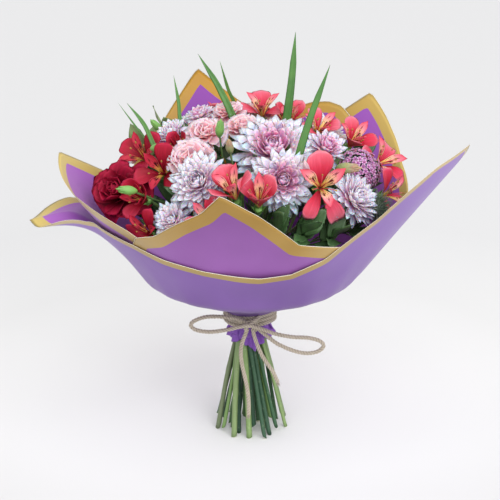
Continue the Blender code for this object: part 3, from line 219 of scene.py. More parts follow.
def runOf(path):
    # the length along a path up to each of its points
    return np.concatenate(([0], np.cumsum(np.linalg.norm(np.diff(path, axis=0), axis=1))))


def curveThrough(points, rows):
    # Catmull-Rom through the points, at even spacing
    points = np.asarray(points, float)
    padded = np.vstack((2 * points[0] - points[1], points, 2 * points[-1] - points[-2]))
    t = np.linspace(0, 1, 16, endpoint=False)[:, None]
    fine = []
    for a, b, c, d in zip(padded, padded[1:], padded[2:], padded[3:]):
        bend = 2 * a - 5 * b + 4 * c - d
        turn = 3 * b - a - 3 * c + d
        fine.append(0.5 * (2 * b + (c - a) * t + bend * t**2 + turn * t**3))
    fine = np.vstack(fine + [points[-1:]])
    run = runOf(fine)
    even = np.linspace(0, run[-1], rows)
    return np.column_stack([np.interp(even, run, fine[:, k]) for k in range(3)])


def arc(pitch, curl, length, rootOut, rootUp, s):
    # leaves the root at its pitch and turns by curl along its length
    angle = pitch + curl * s
    out = rootOut + length * (np.sin(angle) - np.sin(pitch)) / curl
    up = rootUp + length * (np.cos(pitch) - np.cos(angle)) / curl
    return angle, out, up


def petalStrips(azimuth, pitch, curl, length, width, cup, rootOut, rootUp, rows, cols, outline, tipCut,
                ruffle=None, twist=0.0, teeth=0.0):
    # each middle line is an arc; across it the petal is an arc of the angle cup, as wide as its outline
    # says; the columns off the middle end tipCut sooner, and every other one by teeth
    azimuth, pitch, curl, length, width, cup, rootOut, rootUp, twist = (
        np.asarray(values, float).reshape(-1, 1, 1)
        for values in (azimuth, pitch, curl, length, width, cup, rootOut, rootUp, twist))
    curl = np.where(np.abs(curl) < 1e-3, 1e-3, curl)
    t = np.linspace(0, 1, rows)[None, :, None]
    u = np.linspace(1, -1, cols)[None, None, :]
    zigzag = teeth * np.where(np.arange(cols) % 2, 1, -1)
    s = t * (1 - tipCut * u**2 * t - zigzag * t**4)
    angle, out, up = arc(pitch, curl, length, rootOut, rootUp, s)
    half = width / 2 * np.interp(s, *outline)
    bow = np.maximum(cup, 1e-3)
    x = half * np.sin(bow * u) / bow
    lift = half * (1 - np.cos(bow * u)) / bow
    if ruffle is not None:
        lift = lift + ruffle(s, u)
    turned = twist * s
    x, lift = x * np.cos(turned) - lift * np.sin(turned), x * np.sin(turned) + lift * np.cos(turned)
    out = out - np.sin(angle) * lift
    up = up + np.cos(angle) * lift
    c, s = np.cos(azimuth), np.sin(azimuth)
    return np.stack((c * out - s * x, s * out + c * x, up * np.ones_like(azimuth)), axis=-1)


def roundAxis(angle, radius, height):
    # points round the bouquet's axis, with the angle from the front
    return np.stack((np.sin(angle) * radius, -np.cos(angle) * radius, height), axis=-1) + axisAt


def fibres(root, tip, bend):
    # lines of three points, the middle one moved by bend
    return np.stack((root, (root + tip) / 2 + bend, tip), axis=1)


# Materials

class Look:
    # a material, with short calls that add its nodes and give their outputs
    def __init__(self, name, roughness, **sockets):
        self.material = bpy.data.materials.new(name)
        self.material.use_nodes = True
        self.tree = self.material.node_tree
        self.shader = self.tree.nodes["Principled BSDF"]
        self.set(Roughness=roughness, **sockets)

    def set(self, **sockets):
        for name, value in sockets.items():
            self.feed(self.shader.inputs[name.replace("_", " ")], value)

    def feed(self, socket, value):
        # the value is a number, a colour code or a node's output
        if isinstance(value, bpy.types.NodeSocket):
            self.tree.links.new(value, socket)
        else:
            socket.default_value = hexColour(value) if isinstance(value, str) else value

    def add(self, kind, *values, **settings):
        made = self.tree.nodes.new("ShaderNode" + kind)
        for key, value in settings.items():
            if key in made.inputs.keys():
                self.feed(made.inputs[key], value)
            else:
                setattr(made, key, value)
        for socket, value in zip(made.inputs, values):
            self.feed(socket, value)
        return made.outputs

    def math(self, operation, *values):
        return self.add("Math", *values, operation=operation)[0]

    def ramp(self, value, stops):
        # stops as places and colour codes, such as "0 000000, 1 FFFFFF"
        out = self.add("ValToRGB", value)[0]
        elements = out.node.color_ramp.elements
        stops = [stop.split() for stop in stops.split(", ")]
        while len(elements) < len(stops):
            elements.new(0.5)
        for element, (position, code) in zip(elements, stops):
            element.position = float(position)
            element.color = hexColour(code)
        return out

    def mask(self, value, low, high):
        return self.ramp(value, f"{low} 000000, {high} FFFFFF")

    def mixed(self, factor, first, second, blend="MIX", strength=None):
        if strength is not None:
            factor = self.math("MULTIPLY", factor, strength)
        out = self.add("Mix", data_type="RGBA", blend_type=blend)[2]
        for index, value in ((0, factor), (6, first), (7, second)):
            self.feed(out.node.inputs[index], value)
        return out

    def place(self):
        return self.add("TexCoord")["Object"]

    def noise(self, scale, detail=3.0, vector=None, stretch=None):
        vector = self.place() if vector is None else vector
        if stretch is not None:
            vector = self.add("Mapping", vector, Scale=stretch)[0]
        return self.add("TexNoise", vector, Scale=scale, Detail=detail)["Fac"]

    def flat(self):
        return self.add("UVMap", uv_map="UVMap")[0]

    def uv(self):
        flat = self.flat()
        return flat, *self.add("SeparateXYZ", flat)[:2]

    def attribute(self, name):
        return self.add("Attribute", attribute_name=name)["Fac"]

    def finish(self, colour, height=None, strength=0.3, distance=0.0005):
        self.set(Base_Color=colour)
        if height is not None:
            self.set(Normal=self.add("Bump", Strength=strength, Distance=distance, Height=height)[0])
        return self.material


def petalMaterial(name, outer, inner, veins, veinShade, roughness=0.55, glow=0.3, sheen=0.12):
    # colours run from root to tip, from the outer petals' ramp to the inner petals' by the tone attribute
    look = Look(name, roughness, Subsurface_Weight=glow, Subsurface_Scale=0.005, Sheen_Weight=sheen,
                Specular_IOR_Level=0.22)
    flat, _, v = look.uv()
    colour = look.mixed(look.attribute("tone"), look.ramp(v, outer), look.ramp(v, inner))
    lines = look.noise(1.0, 2.0, flat, (veins, 2.2, 1))
    colour = look.mixed(look.mask(lines, 0.35, 0.62), colour, veinShade, "MULTIPLY", 0.24)
    patches = look.ramp(look.noise(90.0), "0.3 E4E4E4, 0.7 FFFFFF")
    colour = look.mixed(0.22, colour, patches, "MULTIPLY")
    return look.finish(colour, lines, 0.35, 0.0004)


def streakedMaterial(name, stops, streak):
    # a tepal with dark dashes along it, thickest over its yellow middle
    look = Look(name, 0.5, Subsurface_Weight=0.1, Subsurface_Scale=0.003, Specular_IOR_Level=0.22)
    flat, _, v = look.uv()
    dashes = look.noise(1.0, 1.0, flat, (16.0, 3.2, 1))
    zone = look.ramp(v, "0.2 000000, 0.35 FFFFFF, 0.72 FFFFFF, 0.86 000000")
    streaks = look.math("MULTIPLY", look.mask(dashes, 0.56, 0.6), zone)
    return look.finish(look.mixed(streaks, look.ramp(v, stops), streak), dashes, 0.2, 0.0003)


def leafMaterial(name, dark, light, roughness=0.42, ribs=9.0):
    # a pale midrib, side veins that lean forward, and a waxy unevenness
    look = Look(name, roughness, Coat_Weight=0.15, Coat_Roughness=0.35)
    _, u, v = look.uv()
    off = look.math("ABSOLUTE", look.math("SUBTRACT", u, 0.5))
    slant = look.math("SUBTRACT", look.math("MULTIPLY", v, ribs), look.math("MULTIPLY", off, 5.0))
    vein = look.mask(look.math("SINE", look.math("MULTIPLY", slant, 6.283)), 0.8, 1.0)
    colour = look.mixed(look.noise(70.0, 4.0), dark, light)
    colour = look.mixed(vein, colour, light, strength=0.22)
    colour = look.mixed(look.ramp(off, "0 FFFFFF, 0.035 000000"), colour, light, strength=0.5)
    colour = look.mixed(look.attribute("tone"), colour, light, strength=0.55)
    return look.finish(colour, vein, 0.25, 0.0004)


def stemMaterial(name):
    # each stem's own green by its tone, with ribs along it and pale scars
    look = Look(name, 0.5, Coat_Weight=0.1, Coat_Roughness=0.4)
    flat = look.flat()
    greens = look.ramp(
        look.attribute("tone"), "0 274F38, 0.2 366241, 0.4 557E46, 0.6 7C9E5A, 0.8 92AE6E, 1 6E745E")
    ribs = look.noise(1.0, 2.0, flat, (14.0, 3.0, 1))
    scars = look.mask(look.noise(260.0, 4.0), 0.62, 0.78)
    colour = look.mixed(ribs, greens, "33502F", "MULTIPLY", 0.5)
    return look.finish(look.mixed(scars, colour, "B9C79A", strength=0.3), ribs, 0.4, 0.0005)


def filmMaterial(name, base, deep, gold, goldDeep, border, sideLitBase, sideLitGold):
    # a printed gold border by the distance to the cut edge, a thin pale line on the cut, and painted light:
    # film and gold paler towards the sides, as if lit from both flanks
    look = Look(name, 0.42, Sheen_Weight=0.05, Specular_IOR_Level=0.3)
    edge = look.attribute("edge")
    clouds = look.noise(9.0, 2.0)
    across = look.add("SeparateXYZ", look.place())[0]
    # painted light: this mask grows with the distance across from the axis and lightens the sides
    aside = look.mask(look.math("ABSOLUTE", across), 0.05, 0.19)
    body = look.mixed(look.mask(clouds, 0.3, 0.7), deep, base)
    body = look.mixed(aside, body, sideLitBase, strength=0.8)
    metal = look.mixed(look.mask(clouds, 0.35, 0.65), goldDeep, gold)
    metal = look.mixed(aside, metal, sideLitGold, strength=0.8)
    wobble = look.math("MULTIPLY", look.math("SUBTRACT", clouds, 0.5), 0.0012)
    inBorder = look.math("LESS_THAN", look.math("ADD", edge, wobble), border)
    colour = look.mixed(inBorder, body, metal)
    colour = look.mixed(look.math("LESS_THAN", edge, 0.0006), colour, "F3EDE2")
    look.set(Roughness=look.math("SUBTRACT", 0.46, look.math("MULTIPLY", inBorder, 0.1)))
    grain = look.math("MULTIPLY", look.noise(900.0, 2.0), 0.05)
    crease = look.noise(16.0, 4.0, None, (1, 1, 0.35))
    return look.finish(colour, look.math("ADD", grain, crease), 0.35, 0.004)


def juteMaterial():
    # pale fibres that lie along each strand, and painted shade in the hollows between strands, where the
    # tone attribute is low
    look = Look("jute", 0.9, Sheen_Weight=0.2)
    strands = look.noise(1500.0)
    colour = look.mixed(strands, "857867", "CBBEAC")
    colour = look.mixed(look.noise(120.0), colour, "D2C8B8", strength=0.45)
    # painted shade: the dark colour where the tone is low, in the hollows
    return look.finish(look.mixed(look.attribute("tone"), "4E453A", colour), strands, 0.7, 0.0006)


def floorMaterial():
    # painted light: the floor is palest round the bouquet, where it lifts the bouquet's shadow, and greyer
    # further off, by the distance in metres from a spot a little behind it
    look = Look("floor", 0.9)
    far = look.add("VectorMath", look.place(), (0, 0.1, 0), operation="DISTANCE")["Value"]
    return look.finish(look.ramp(far, "0 F8F8F8, 0.12 EFEFEF, 0.22 E3E3E3, 0.36 D6D6D6, 0.6 CECECF"))


materials = {
    "mum": petalMaterial(
        "chrysanthemumPetal", "0 E04A9C, 0.28 F0A0CE, 0.55 F8D6EB, 0.85 FDF2FA, 1 FFFAFD",
        "0 D0207E, 0.4 E64A9E, 0.7 F080C0, 1 F8BADC", 9.0, "E6B0D2", 0.55, 0.6),
    "coral": petalMaterial(
        "alstroemeriaCoral", "0 B8C07A, 0.16 AC162E, 0.5 D01E3E, 0.88 E23A5A, 1 EC7890",
        "0 C8D08A, 0.2 C4223E, 0.6 E44C6C, 1 F294A6", 14.0, "BE2644", 0.5, 0.2, 0.04),
    "crimson": petalMaterial(
        "alstroemeriaCrimson", "0 7C0C26, 0.3 8C0622, 0.8 A8082A, 1 C01E44",
        "0 8A1030, 0.4 A60C2C, 1 CC3658", 14.0, "7A0826", 0.5, 0.1, 0.0),
    "coralInner": streakedMaterial(
        "alstroemeriaCoralStreaked", "0 D9A43C, 0.36 F4D67A, 0.54 F8CCA4, 0.74 F28A98, 1 DE3A58", "5A1520"),
    "crimsonInner": streakedMaterial(
        "alstroemeriaCrimsonStreaked", "0 B0702A, 0.3 DDAE54, 0.5 C83C4C, 1 A80C34", "3E0A12"),
    "carnation": petalMaterial(
        "carnationPetal", "0 F08294, 0.5 FAB2C0, 0.85 FFCED8, 1 FFE4EA",
        "0 EA7086, 0.6 F9AEBC, 1 FFD4DC", 6.0, "FFDCE2", 0.62, 0.5),
    "rose": petalMaterial(
        "rosePetal", "0 4A0512, 0.5 92082E, 1 B41040", "0 3A0410, 0.6 840A28, 1 A20C34", 8.0, "6A0620",
        0.6, 0.06, 0.0),
    "floret": petalMaterial(
        "floretPetal", "0 B44E98, 0.5 EA92CE, 1 FCDCF2", "0 AC3E8E, 1 F0ACDA", 5.0, "E8A8D4"),
    "leaf": leafMaterial("ruscusLeaf", "2B482C", "547848", 0.32),
    "foliage": leafMaterial("paleFoliage", "3E5F33", "93A86C", 0.5),
    "grass": leafMaterial("grassBlade", "285C2C", "5C9040", 0.45, 2.0),
    "calyx": leafMaterial("calyxGreen", "3C7A34", "8CC064", 0.5, 4.0),
    "stripedBud": petalMaterial(
        "stripedBud", "0 5E7F45, 0.45 93A866, 0.8 C08A78, 1 8FAE60", "0 7C9A58, 1 D8B0A0", 10.0, "A85A58"),
    "pinkBud": petalMaterial(
        "pinkBud", "0 C98FA0, 0.6 E8B6C0, 1 F2CED4", "0 C98FA0, 1 F2CED4", 10.0, "C8808E"),
    "stem": stemMaterial("stems"),
    "anther": leafMaterial("anther", "7A4E20", "C89A48", 0.7),
    "thistle": leafMaterial("thistleSpine", "1E3230", "6E8468", 0.6),
    "jute": juteMaterial(),
    # the last two colours of each film are its film and gold with the painted light of the lit sides
    "filmOut": filmMaterial(
        "filmOutside", "7D5A9F", "694A89", "A38C58", "92753F", 0.0072, "A080C8", "C9B795"),
    "filmIn": filmMaterial(
        "filmInside", "8B40A3", "722F8E", "B68626", "9A6C18", 0.0132, "AC68C4", "D2BE70"),
    "filmWide": filmMaterial(
        "filmOutsideWide", "925BA4", "7E4B8F", "B08F4C", "997735", 0.0150, "A878C4", "C9B795"),
    "filmSkirt": filmMaterial(
        "filmSkirt", "9A68C2", "6A3C9C", "D3B885", "BE9C63", 0.0, "8C60B2", "D3B885"),
    "cut": Look("cutEnd", 0.7, Base_Color="C9D2A8").material,
    "floor": floorMaterial(),
}
print("materials made")


# Twine: the routes are those of the solids, in mm from the bouquet's axis

twine = {
    "diameter": 4.4 * mm,
    "spacing": 1.1 * mm,
    "strands": 3,
    "turnEvery": 2.1,  # this and the next three are in diameters
    "strandOut": 0.26,
    "strandRadius": 0.25,
    "hollow": (0.3, 0.47),  # from here to here off the middle, the painted shade of the hollows fades
    "sides": 7,
    "hairEvery": 2.2 * mm,
    "hairRadii": np.array((0.09, 0.07, 0.03)) * mm,
    "frays": 26,
    "frayRadii": np.array((0.22, 0.16, 0.06)) * mm,
}
routes = {
    "twineBow": (
        (-6.9, -31.8, 132), (-15, -34.8, 137), (-30, -38.8, 141), (-46, -39.8, 141), (-58, -38.8, 136),
        (-61, -38.8, 131), (-55, -39.8, 126.5), (-42, -40.8, 125), (-26, -41.3, 127), (-12, -40.3, 130),
        (0, -38.3, 131), (12, -40.3, 128), (26, -41.3, 123), (43, -41.3, 119.5), (60, -41.3, 118.5),
        (72, -41.3, 115), (76, -40.8, 109), (70, -40.8, 103), (58, -40.8, 101), (44, -40.3, 104),
        (28, -38.8, 111), (16, -35.3, 119.5), (6.6, -32.4, 126.6),
    ),
    "twineTailLeft": (
        (-2.8, -32.8, 125.2), (-5, -35.3, 119), (-8.5, -37.3, 110), (-9.5, -38.8, 99), (-8, -39.8, 86),
        (-5, -40.3, 72), (-2.5, -40.8, 58), (-1.5, -41.3, 45), (-1.5, -41.8, 31),
    ),
    "twineTailRight": (
        (2.8, -32.8, 125.2), (4.5, -35.8, 118), (8, -38.3, 108), (12.5, -39.8, 98), (18, -40.8, 89),
        (24, -41.3, 80), (29, -41.3, 68),
    ),
}


def ropeParts(path, diameter, seed):
    # strands wound round the path, each the path plus a turning offset, and hairs that stand off it
    draw = np.random.default_rng(seed)
    rows, strands = len(path), twine["strands"]
    run = runOf(path)
    ahead = unit(np.gradient(path, axis=0))
    before = np.array((0.1, 0.3, 1.0) if abs(ahead[0, 2]) < 0.8 else (1.0, 0.3, 0.1))
    normal, binormal = carried(ahead, before)

    def aside(angle, at=slice(None)):
        return normal[at] * np.cos(angle)[:, None] + binormal[at] * np.sin(angle)[:, None]

    phase = run / (twine["turnEvery"] * diameter) * 2 * math.pi
    turns = [phase + 2 * math.pi * k / strands + draw.normal(0, 0.05, rows) for k in range(strands)]
    lines = np.array([path + twine["strandOut"] * diameter * aside(angle) for angle in turns])
    radii = twine["strandRadius"] * diameter * (1 + draw.normal(0, 0.04, (strands, rows)))
    wound = rodPart(lines, radii, twine["sides"], tone=1.0)
    rings = wound["points"][:strands * rows * twine["sides"]].reshape(strands, rows, -1, 3)
    # painted shade: the rings' tone falls towards the hollows between strands, where the jute material
    # darkens them
    outward = np.linalg.norm(rings - path[None, :, None], axis=-1) / diameter
    wound["tone"][:outward.size] = smoothStep(outward, *twine["hollow"]).ravel()
    hairs = int(run[-1] / twine["hairEvery"])
    at = draw.integers(1, rows - 1, hairs)
    away = aside(draw.uniform(0, 2 * math.pi, hairs), at)
    lean = unit(away + ahead[at] * draw.uniform(-1.6, 1.6, (hairs, 1)))
    root = path[at] + away * 0.42 * diameter
    reach = draw.uniform(1.0, 2.2, (hairs, 1)) * mm
    loose = fibres(root, root + lean * reach, away * 0.25 * reach)
    return [wound, rodPart(loose, twine["hairRadii"], 3, tone=1.0)]


def frayedEnd(path):
    # loose fibres that spread from the cut end
    draw, count = np.random.default_rng(5), twine["frays"]
    ahead = unit(path[-1] - path[-3])
    spread = unit(ahead + draw.normal(0, 0.28, (count, 3)))
    root = path[-1] + draw.normal(0, 0.16, (count, 3)) * twine["diameter"] - ahead * mm
    tip = root + spread * draw.uniform(3.0, 7.0, (count, 1)) * mm
    loose = fibres(root, tip, draw.normal(0, 0.4, (count, 3)) * mm)
    return rodPart(loose, twine["frayRadii"], 4, tone=0.9)


def routePath(points):
    points = np.array(points) * mm + axisAt
    return curveThrough(points, int(runOf(points)[-1] / twine["spacing"]) + 1)


def makeTwine():
    for name, cadNode, end, lay in (
        ("twineBow", "twine_bow", "object", "loose"),
        ("twineTailLeft", "twine_tail_left", "bare", "hanging"),
        ("twineTailRight", "twine_tail_right", "bare", "hanging"),
    ):
        path = routePath(routes[name])
        piece = makePiece(name, ropeParts(path, twine["diameter"], len(name)), ["jute"], cadNode)
        if end == "bare":
            makePiece(name + "Fray", [frayedEnd(path)], ["jute"])


binding = {
    "radius": 26.25 * mm,
    "height": 130 * mm,
    "turns": 3,
    "rows": 400,
    "wave": 0.6 * mm,
    "pulled": 0.95,  # the knot's strands in shares of the twine's diameter
    # the knot's crossing strands, in mm from its middle
    "knot": np.array((0, -31.45, 130.5)),
    "crossings": (
        ((-10, 4, 4), (-5, -1.5, 2.4), (0, -4.2, -0.6), (5, -2.4, -4.2), (6, 1, -8)),
        ((10, 4, 6), (5, -2.5, 4.2), (0, -5.6, 1), (-4, -4, -3.2), (-4.5, 0, -7)),
        ((-6, 4, -3), (-5, -1, -1.5), (0, -1.6, 3.2), (5, -1, 0.5), (6, 4, -1)),
    ),
}


def makeBinding():
    # turns of the same twine round the film's neck as a helix that starts and ends at the back, and the knot
    diameter, turns = twine["diameter"], binding["turns"]
    turned = np.linspace(0, 2 * math.pi * turns, binding["rows"])
    angle = turned + math.pi
    climb = binding["height"] + diameter * (turned / (2 * math.pi) - turns / 2)
    climb = climb + binding["wave"] * np.sin(3 * angle)
    parts = ropeParts(roundAxis(angle, binding["radius"], climb), diameter, 3)
    for k, crossing in enumerate(binding["crossings"]):
        parts += ropeParts(routePath(binding["knot"] + crossing), diameter * binding["pulled"], 20 + k)
    makePiece("twineBinding", parts, ["jute"], "twine_binding")


makeTwine()
makeBinding()
print("twine made")


# The film wrap: six sheets in layers, each a fan of columns from the tie to its cut edge

film = {
    "waist": 16.3 * mm,
    "layerStep": 1.35 * mm,
    "foot": 122 * mm,
    "neck": 141 * mm,
    "creaseRadius": 105 * mm,
    "creaseHeight": 180 * mm,
    "slopeFront": 0.46,
    "slopeSideMore": 0.285,
    "columnDegrees": 1.5,
    "cornersAt": (0.0, 0.07, 0.42, 0.652, 0.826, 1.0),  # shares of the rows at a column's corners
    "smoothings": 5,  # rounds that soften these corners
    "rows": 46,
    "cutFromRow": 20,  # a sheet's side edges show their border from here up
    "thickness": 0.35 * mm,
    "outerLayer": 5,  # the one with the flap
    "flapBend": math.radians(68),
    "flapEase": math.radians(32),  # less bend at the flap's far side
    "flapFromTo": (66, 86),
    "flapEaseFromTo": (88, 106),
    "flatShare": 1.12,  # a cut sheet's side, in roots of its shown area
    "clearance": 4 * mm,  # blooms and leaves stay this far inside the film
    "softening": 9 * mm,  # and are bent back from this much further in
}

# layer from the inside, and the top edge as (degrees from the front, height in mm)
filmSheets = {
    "back_middle": (0, ((127, 270), (138, 298), (146, 315), (151, 318), (157, 316), (172, 300), (194, 282))),
    "back_left": (1, ((169, 290), (184, 317), (191, 332), (198, 351), (205, 327), (213, 302), (234, 258))),
    "back_right": (2, ((84, 240), (99, 260), (112, 277), (125, 303), (138, 333), (144, 316), (158, 282))),
    "left": (3, ((-128, 240), (-112, 272), (-97, 303), (-82, 293), (-64, 281), (-48, 262), (-36, 236))),
    "front_inner": (4, (
        (-56, 226), (-45, 257), (-36, 264), (-26, 282), (-16, 298), (-9, 320), (3, 297), (18, 261),
        (36, 251), (54, 236))),
    "front_outer": (5, (
        (-118, 214), (-110, 252), (-103, 272), (-95, 288), (-88, 300), (-79, 280), (-70, 260), (-48, 248),
        (-36, 237), (-20, 229), (4, 224), (17, 227), (30, 241), (46, 280), (52, 306), (58, 331),
        (68, 345), (84, 300), (106, 226), (116, 196))),
}


def filmGrid(layer, edge):
    # each column runs up the neck, out to the crease and up the flare; a flap's columns bend outwards at
    # the top; waves grow with the height, and fine gathers lie near the tie
    edgeDegrees, edgeHeights = np.array(edge).T
    cols = int(round((edgeDegrees[-1] - edgeDegrees[0]) / film["columnDegrees"])) + 1
    degrees = np.linspace(edgeDegrees[0], edgeDegrees[-1], cols)
    angle = np.radians(degrees)
    top = np.interp(degrees, edgeDegrees, edgeHeights) * mm
    slope = film["slopeFront"] + film["slopeSideMore"] * np.sin(angle) ** 2
    flare = np.arctan2(1, slope)
    step = layer * film["layerStep"]
    rise = math.atan2(film["creaseHeight"] - film["neck"], film["creaseRadius"] - film["waist"])
    flap = smoothStep(-degrees, *film["flapFromTo"]) * (layer == film["outerLayer"])
    bend = flap * (film["flapBend"] - film["flapEase"] * smoothStep(-degrees, *film["flapEaseFromTo"]))
    slant = (top - film["creaseHeight"]) * np.sqrt(1 + slope**2)
    at = np.array((
        film["creaseRadius"] + step * np.sin((rise + flare) / 2),
        film["creaseHeight"] - step * np.cos((rise + flare) / 2)))
    waist = np.full(cols, film["waist"] + step)
    corners = [(waist, 0 * waist + film["foot"]), (waist, 0 * waist + film["neck"] - 0.4 * step), at]
    for share, lean in ((0.4, flare), (0.3, flare - 0.3 * bend), (0.3, flare - bend)):
        at = at + np.array((np.cos(lean), np.sin(lean))) * slant * share
        corners.append(at)
    t = np.linspace(0, 1, film["rows"])
    lines = np.moveaxis(np.array(corners, float), 0, -1)  # radius or height, column, corner
    lines = np.array([[np.interp(t, film["cornersAt"], line) for line in part] for part in lines])
    for _ in range(film["smoothings"]):
        lines[..., 1:-1] = (lines[..., :-2] + 2 * lines[..., 1:-1] + lines[..., 2:]) / 4
    angle = angle[:, None]
    opened = smoothStep(t, 0.45, 1.0)
    wave = 1.6 * np.sin(angle * 5 + 0.7) + 0.9 * np.sin(angle * 11 + 2.0) * np.sin(9 * t)
    fold = 0.5 * np.sin(angle * 23 + 0.4 * layer) * (1 - opened) * smoothStep(t, 0.07, 0.2)
    lip = 0.45 * layer * smoothStep(t, 0.6, 1.0)
    return roundAxis(angle, lines[0] + (wave * opened + fold + lip) * mm, lines[1])


def edgeDistance(grid):
    # from every point of a sheet to its nearest cut edge above the crease
    start = film["cutFromRow"]
    rim = np.vstack((grid[:, -1], grid[0, start:], grid[-1, start:]))
    nearest = np.full(grid.shape[:2], 1.0)
    for some in np.array_split(rim, 12):
        nearest = np.minimum(nearest, np.linalg.norm(grid[:, :, None] - some, axis=3).min(axis=2))
    return nearest


def makeFilm():
    for name, (layer, edge) in filmSheets.items():
        grid = filmGrid(layer, edge)
        part = shellPart(grid[None], film["thickness"], slot=1, backSlot=0, edge=edgeDistance(grid))
        outside = "filmOut" if layer == film["outerLayer"] else "filmWide"
        piece = makePiece("film_" + name, [part], [outside, "filmIn"], "wrap_" + name)


makeFilm()
print("film made")


skirt = {
    "top": 124 * mm,
    "radius": 17.5 * mm,
    "layerStep": 0.75 * mm,
    "cols": 41,
    "rows": 12,
    # middle in degrees from the front, half-width in degrees, length in mm, flare in mm
    "flaps": (
        (-56, 40, 20, 5.0), (12, 34, 27, 3.0), (60, 32, 18, 6.0), (112, 40, 15, 4.0),
        (170, 44, 18, 3.0), (-132, 42, 16, 4.0), (30, 26, 13, 1.5), (-20, 30, 15, 1.8),
    ),
}


def makeSkirt():
    # the sheets' ends below the tie: each flap hangs from the neck, flares, and is folded along its length
    parts = []
    u = np.linspace(-1, 1, skirt["cols"])[:, None]
    t = np.linspace(0, 1, skirt["rows"])[None]
    for k, (middle, half, length, flare) in enumerate(skirt["flaps"]):
        angle = np.radians(middle + half * u * (1 + 0.1 * t))
        drop = length * mm * (1 - 0.38 * np.abs(u) ** 2.2 + 0.06 * np.sin(5 * u + k))
        radius = skirt["radius"] + skirt["layerStep"] * (k % 4) + flare * mm * t**1.4
        radius = radius + 2.1 * mm * t * np.sin(9 * u + 1.3 * k) + 1.1 * mm * t * np.sin(19 * u + k)
        points = roundAxis(angle, radius, skirt["top"] - drop * t)[None, ::-1]
        parts.append(shellPart(points, film["thickness"], slot=1, backSlot=0, edge=(t < 1) * 1.0))
    makePiece("filmSkirt", parts, ["filmSkirt", "filmIn"], "wrap_skirt")


makeSkirt()
print("skirt made")


# Heads by family: the kind, then for each its centre in mm, radius in mm, the way it faces, and for
# alstroemeria its turn in degrees

headFamilies = {
    "chrysanthemum": ("mum", (
        ((23, -42, 322), 39, (0.0, -0.62, 0.78)),
        ((32, -84, 303), 31, (0.12, -0.9, 0.4)),
        ((-50, -88, 302), 29, (-0.3, -0.75, 0.55)),
        ((77, -20, 317), 22, (0.35, -0.5, 0.8)),
        ((104, -74, 281), 27, (0.65, -0.5, 0.55)),
        ((-81, 15, 322), 18, (-0.5, -0.45, 0.75)),
        ((-52, 52, 331), 17, (-0.3, -0.1, 0.95)),
        ((-76, -98, 266), 20, (-0.4, -0.7, 0.55)),
        ((-66, 104, 301), 28, (-0.4, 0.5, 0.75)),
        ((78, 84, 304), 28, (0.35, 0.45, 0.8)),
    )),
    "carnation": ("carnation", (
        ((-46, -3, 326), 20, (-0.2, -0.5, 0.85)),
        ((-8, 12, 328), 18, (0.0, -0.45, 0.9)),
        ((-22, 42, 336), 17, (-0.1, -0.2, 0.95)),
        ((-60, -44, 311), 22, (-0.3, -0.65, 0.7)),
        ((4, 104, 316), 22, (0.0, 0.45, 0.85)),
        ((-112, 62, 290), 20, (-0.6, 0.35, 0.7)),
    )),
    "rose": ("rose", (((-134, -28, 273), 29, (-0.5, -0.6, 0.6)),)),
    "alstroemeria_left": ("crimson", (
        ((-110, 2, 302), 24, (-0.4, -0.6, 0.7), 60),
        ((-89, -38, 298), 25, (-0.3, -0.75, 0.6), 90),
        ((-108, -58, 276), 23, (-0.5, -0.7, 0.45), 20),
        ((-102, -88, 250), 22, (-0.5, -0.7, 0.4), 80),
        ((-72, -14, 316), 18, (-0.2, -0.5, 0.8), 40),
    )),
    "alstroemeria_front": ("coral", (
        ((-40, -112, 271), 21, (-0.1, -0.8, 0.5), 75),
        ((-17, -108, 300), 27, (-0.3, -0.4, 0.85), 20),
        ((9, -106, 291), 27, (0.05, -0.5, 0.85), 30),
        ((70, -91, 299), 31, (0.15, -0.85, 0.45), 90),
    )),
    "alstroemeria_back": ("coral", (
        ((12, 58, 335), 23, (0.0, -0.3, 0.9), 90),
        ((42, 50, 328), 22, (0.1, -0.3, 0.9), 40),
        ((72, 34, 322), 22, (0.3, -0.4, 0.85), 75),
        ((38, 88, 318), 22, (0.1, 0.3, 0.9), 10),
        ((-30, 92, 318), 22, (-0.1, 0.35, 0.9), 50),
    )),
    "alstroemeria_right": ("coral", (
        ((106, 22, 312), 24, (0.4, -0.45, 0.8), 80),
        ((134, -2, 297), 25, (0.6, -0.45, 0.65), 30),
        ((141, -36, 274), 22, (0.75, -0.45, 0.4), 90),
    )),
    "floret": ("floret", (((112, -28, 298), 22, (0.4, -0.5, 0.7)),)),
    "thistle": ("thistle", (((126, -62, 268), 16, (0.6, -0.6, 0.5)),)),
    "bud": ("bud", (
        ((-30, -26, 338), 8, (0.1, -0.3, 0.9)),
        ((-92, -22, 317), 8, (0.55, -0.4, 0.2)),
        ((-120, -76, 290), 8, (-0.8, -0.3, 0.2)),
        ((-96, 30, 325), 7, (-0.5, -0.2, 0.6)),
    )),
    "stripedBud": ("stripedBud", (
        ((96, -62, 308), 10, (0.9, -0.35, 0.12)),
        ((-20, -62, 330), 7, (-0.1, -0.4, 0.9)),
    )),
    "pinkBud": ("pinkBud", (
        ((-38, -62, 322), 9, (-0.2, -0.6, 0.7)),
        ((54, -92, 318), 6, (-0.2, -0.3, 0.9)),
    )),
    "ruscus": ("leaf", (
        ((26, -112, 266), 19, (0.0, -0.6, 0.7)),
        ((58, -112, 262), 20, (0.1, -0.6, 0.7)),
        ((88, -100, 254), 20, (0.3, -0.6, 0.6)),
        ((120, 66, 280), 20, (0.6, 0.4, 0.6)),
        ((-2, 128, 290), 18, (0.0, 0.7, 0.6)),
        ((-8, -104, 246), 20, (0.0, -0.5, 0.8)),
        ((-62, -92, 240), 20, (-0.3, -0.5, 0.8)),
        ((116, -52, 250), 21, (0.5, -0.5, 0.7)),
    )),
    "foliage": ("leaf", (
        ((-112, 34, 304), 18, (-0.6, 0.2, 0.7)),
        ((-88, 58, 318), 18, (-0.4, 0.3, 0.8)),
    )),
}
heads = {
    f"{family}_{number}": (kind, *row)
    for family, (kind, rows) in headFamilies.items() for number, row in enumerate(rows, 1)
}
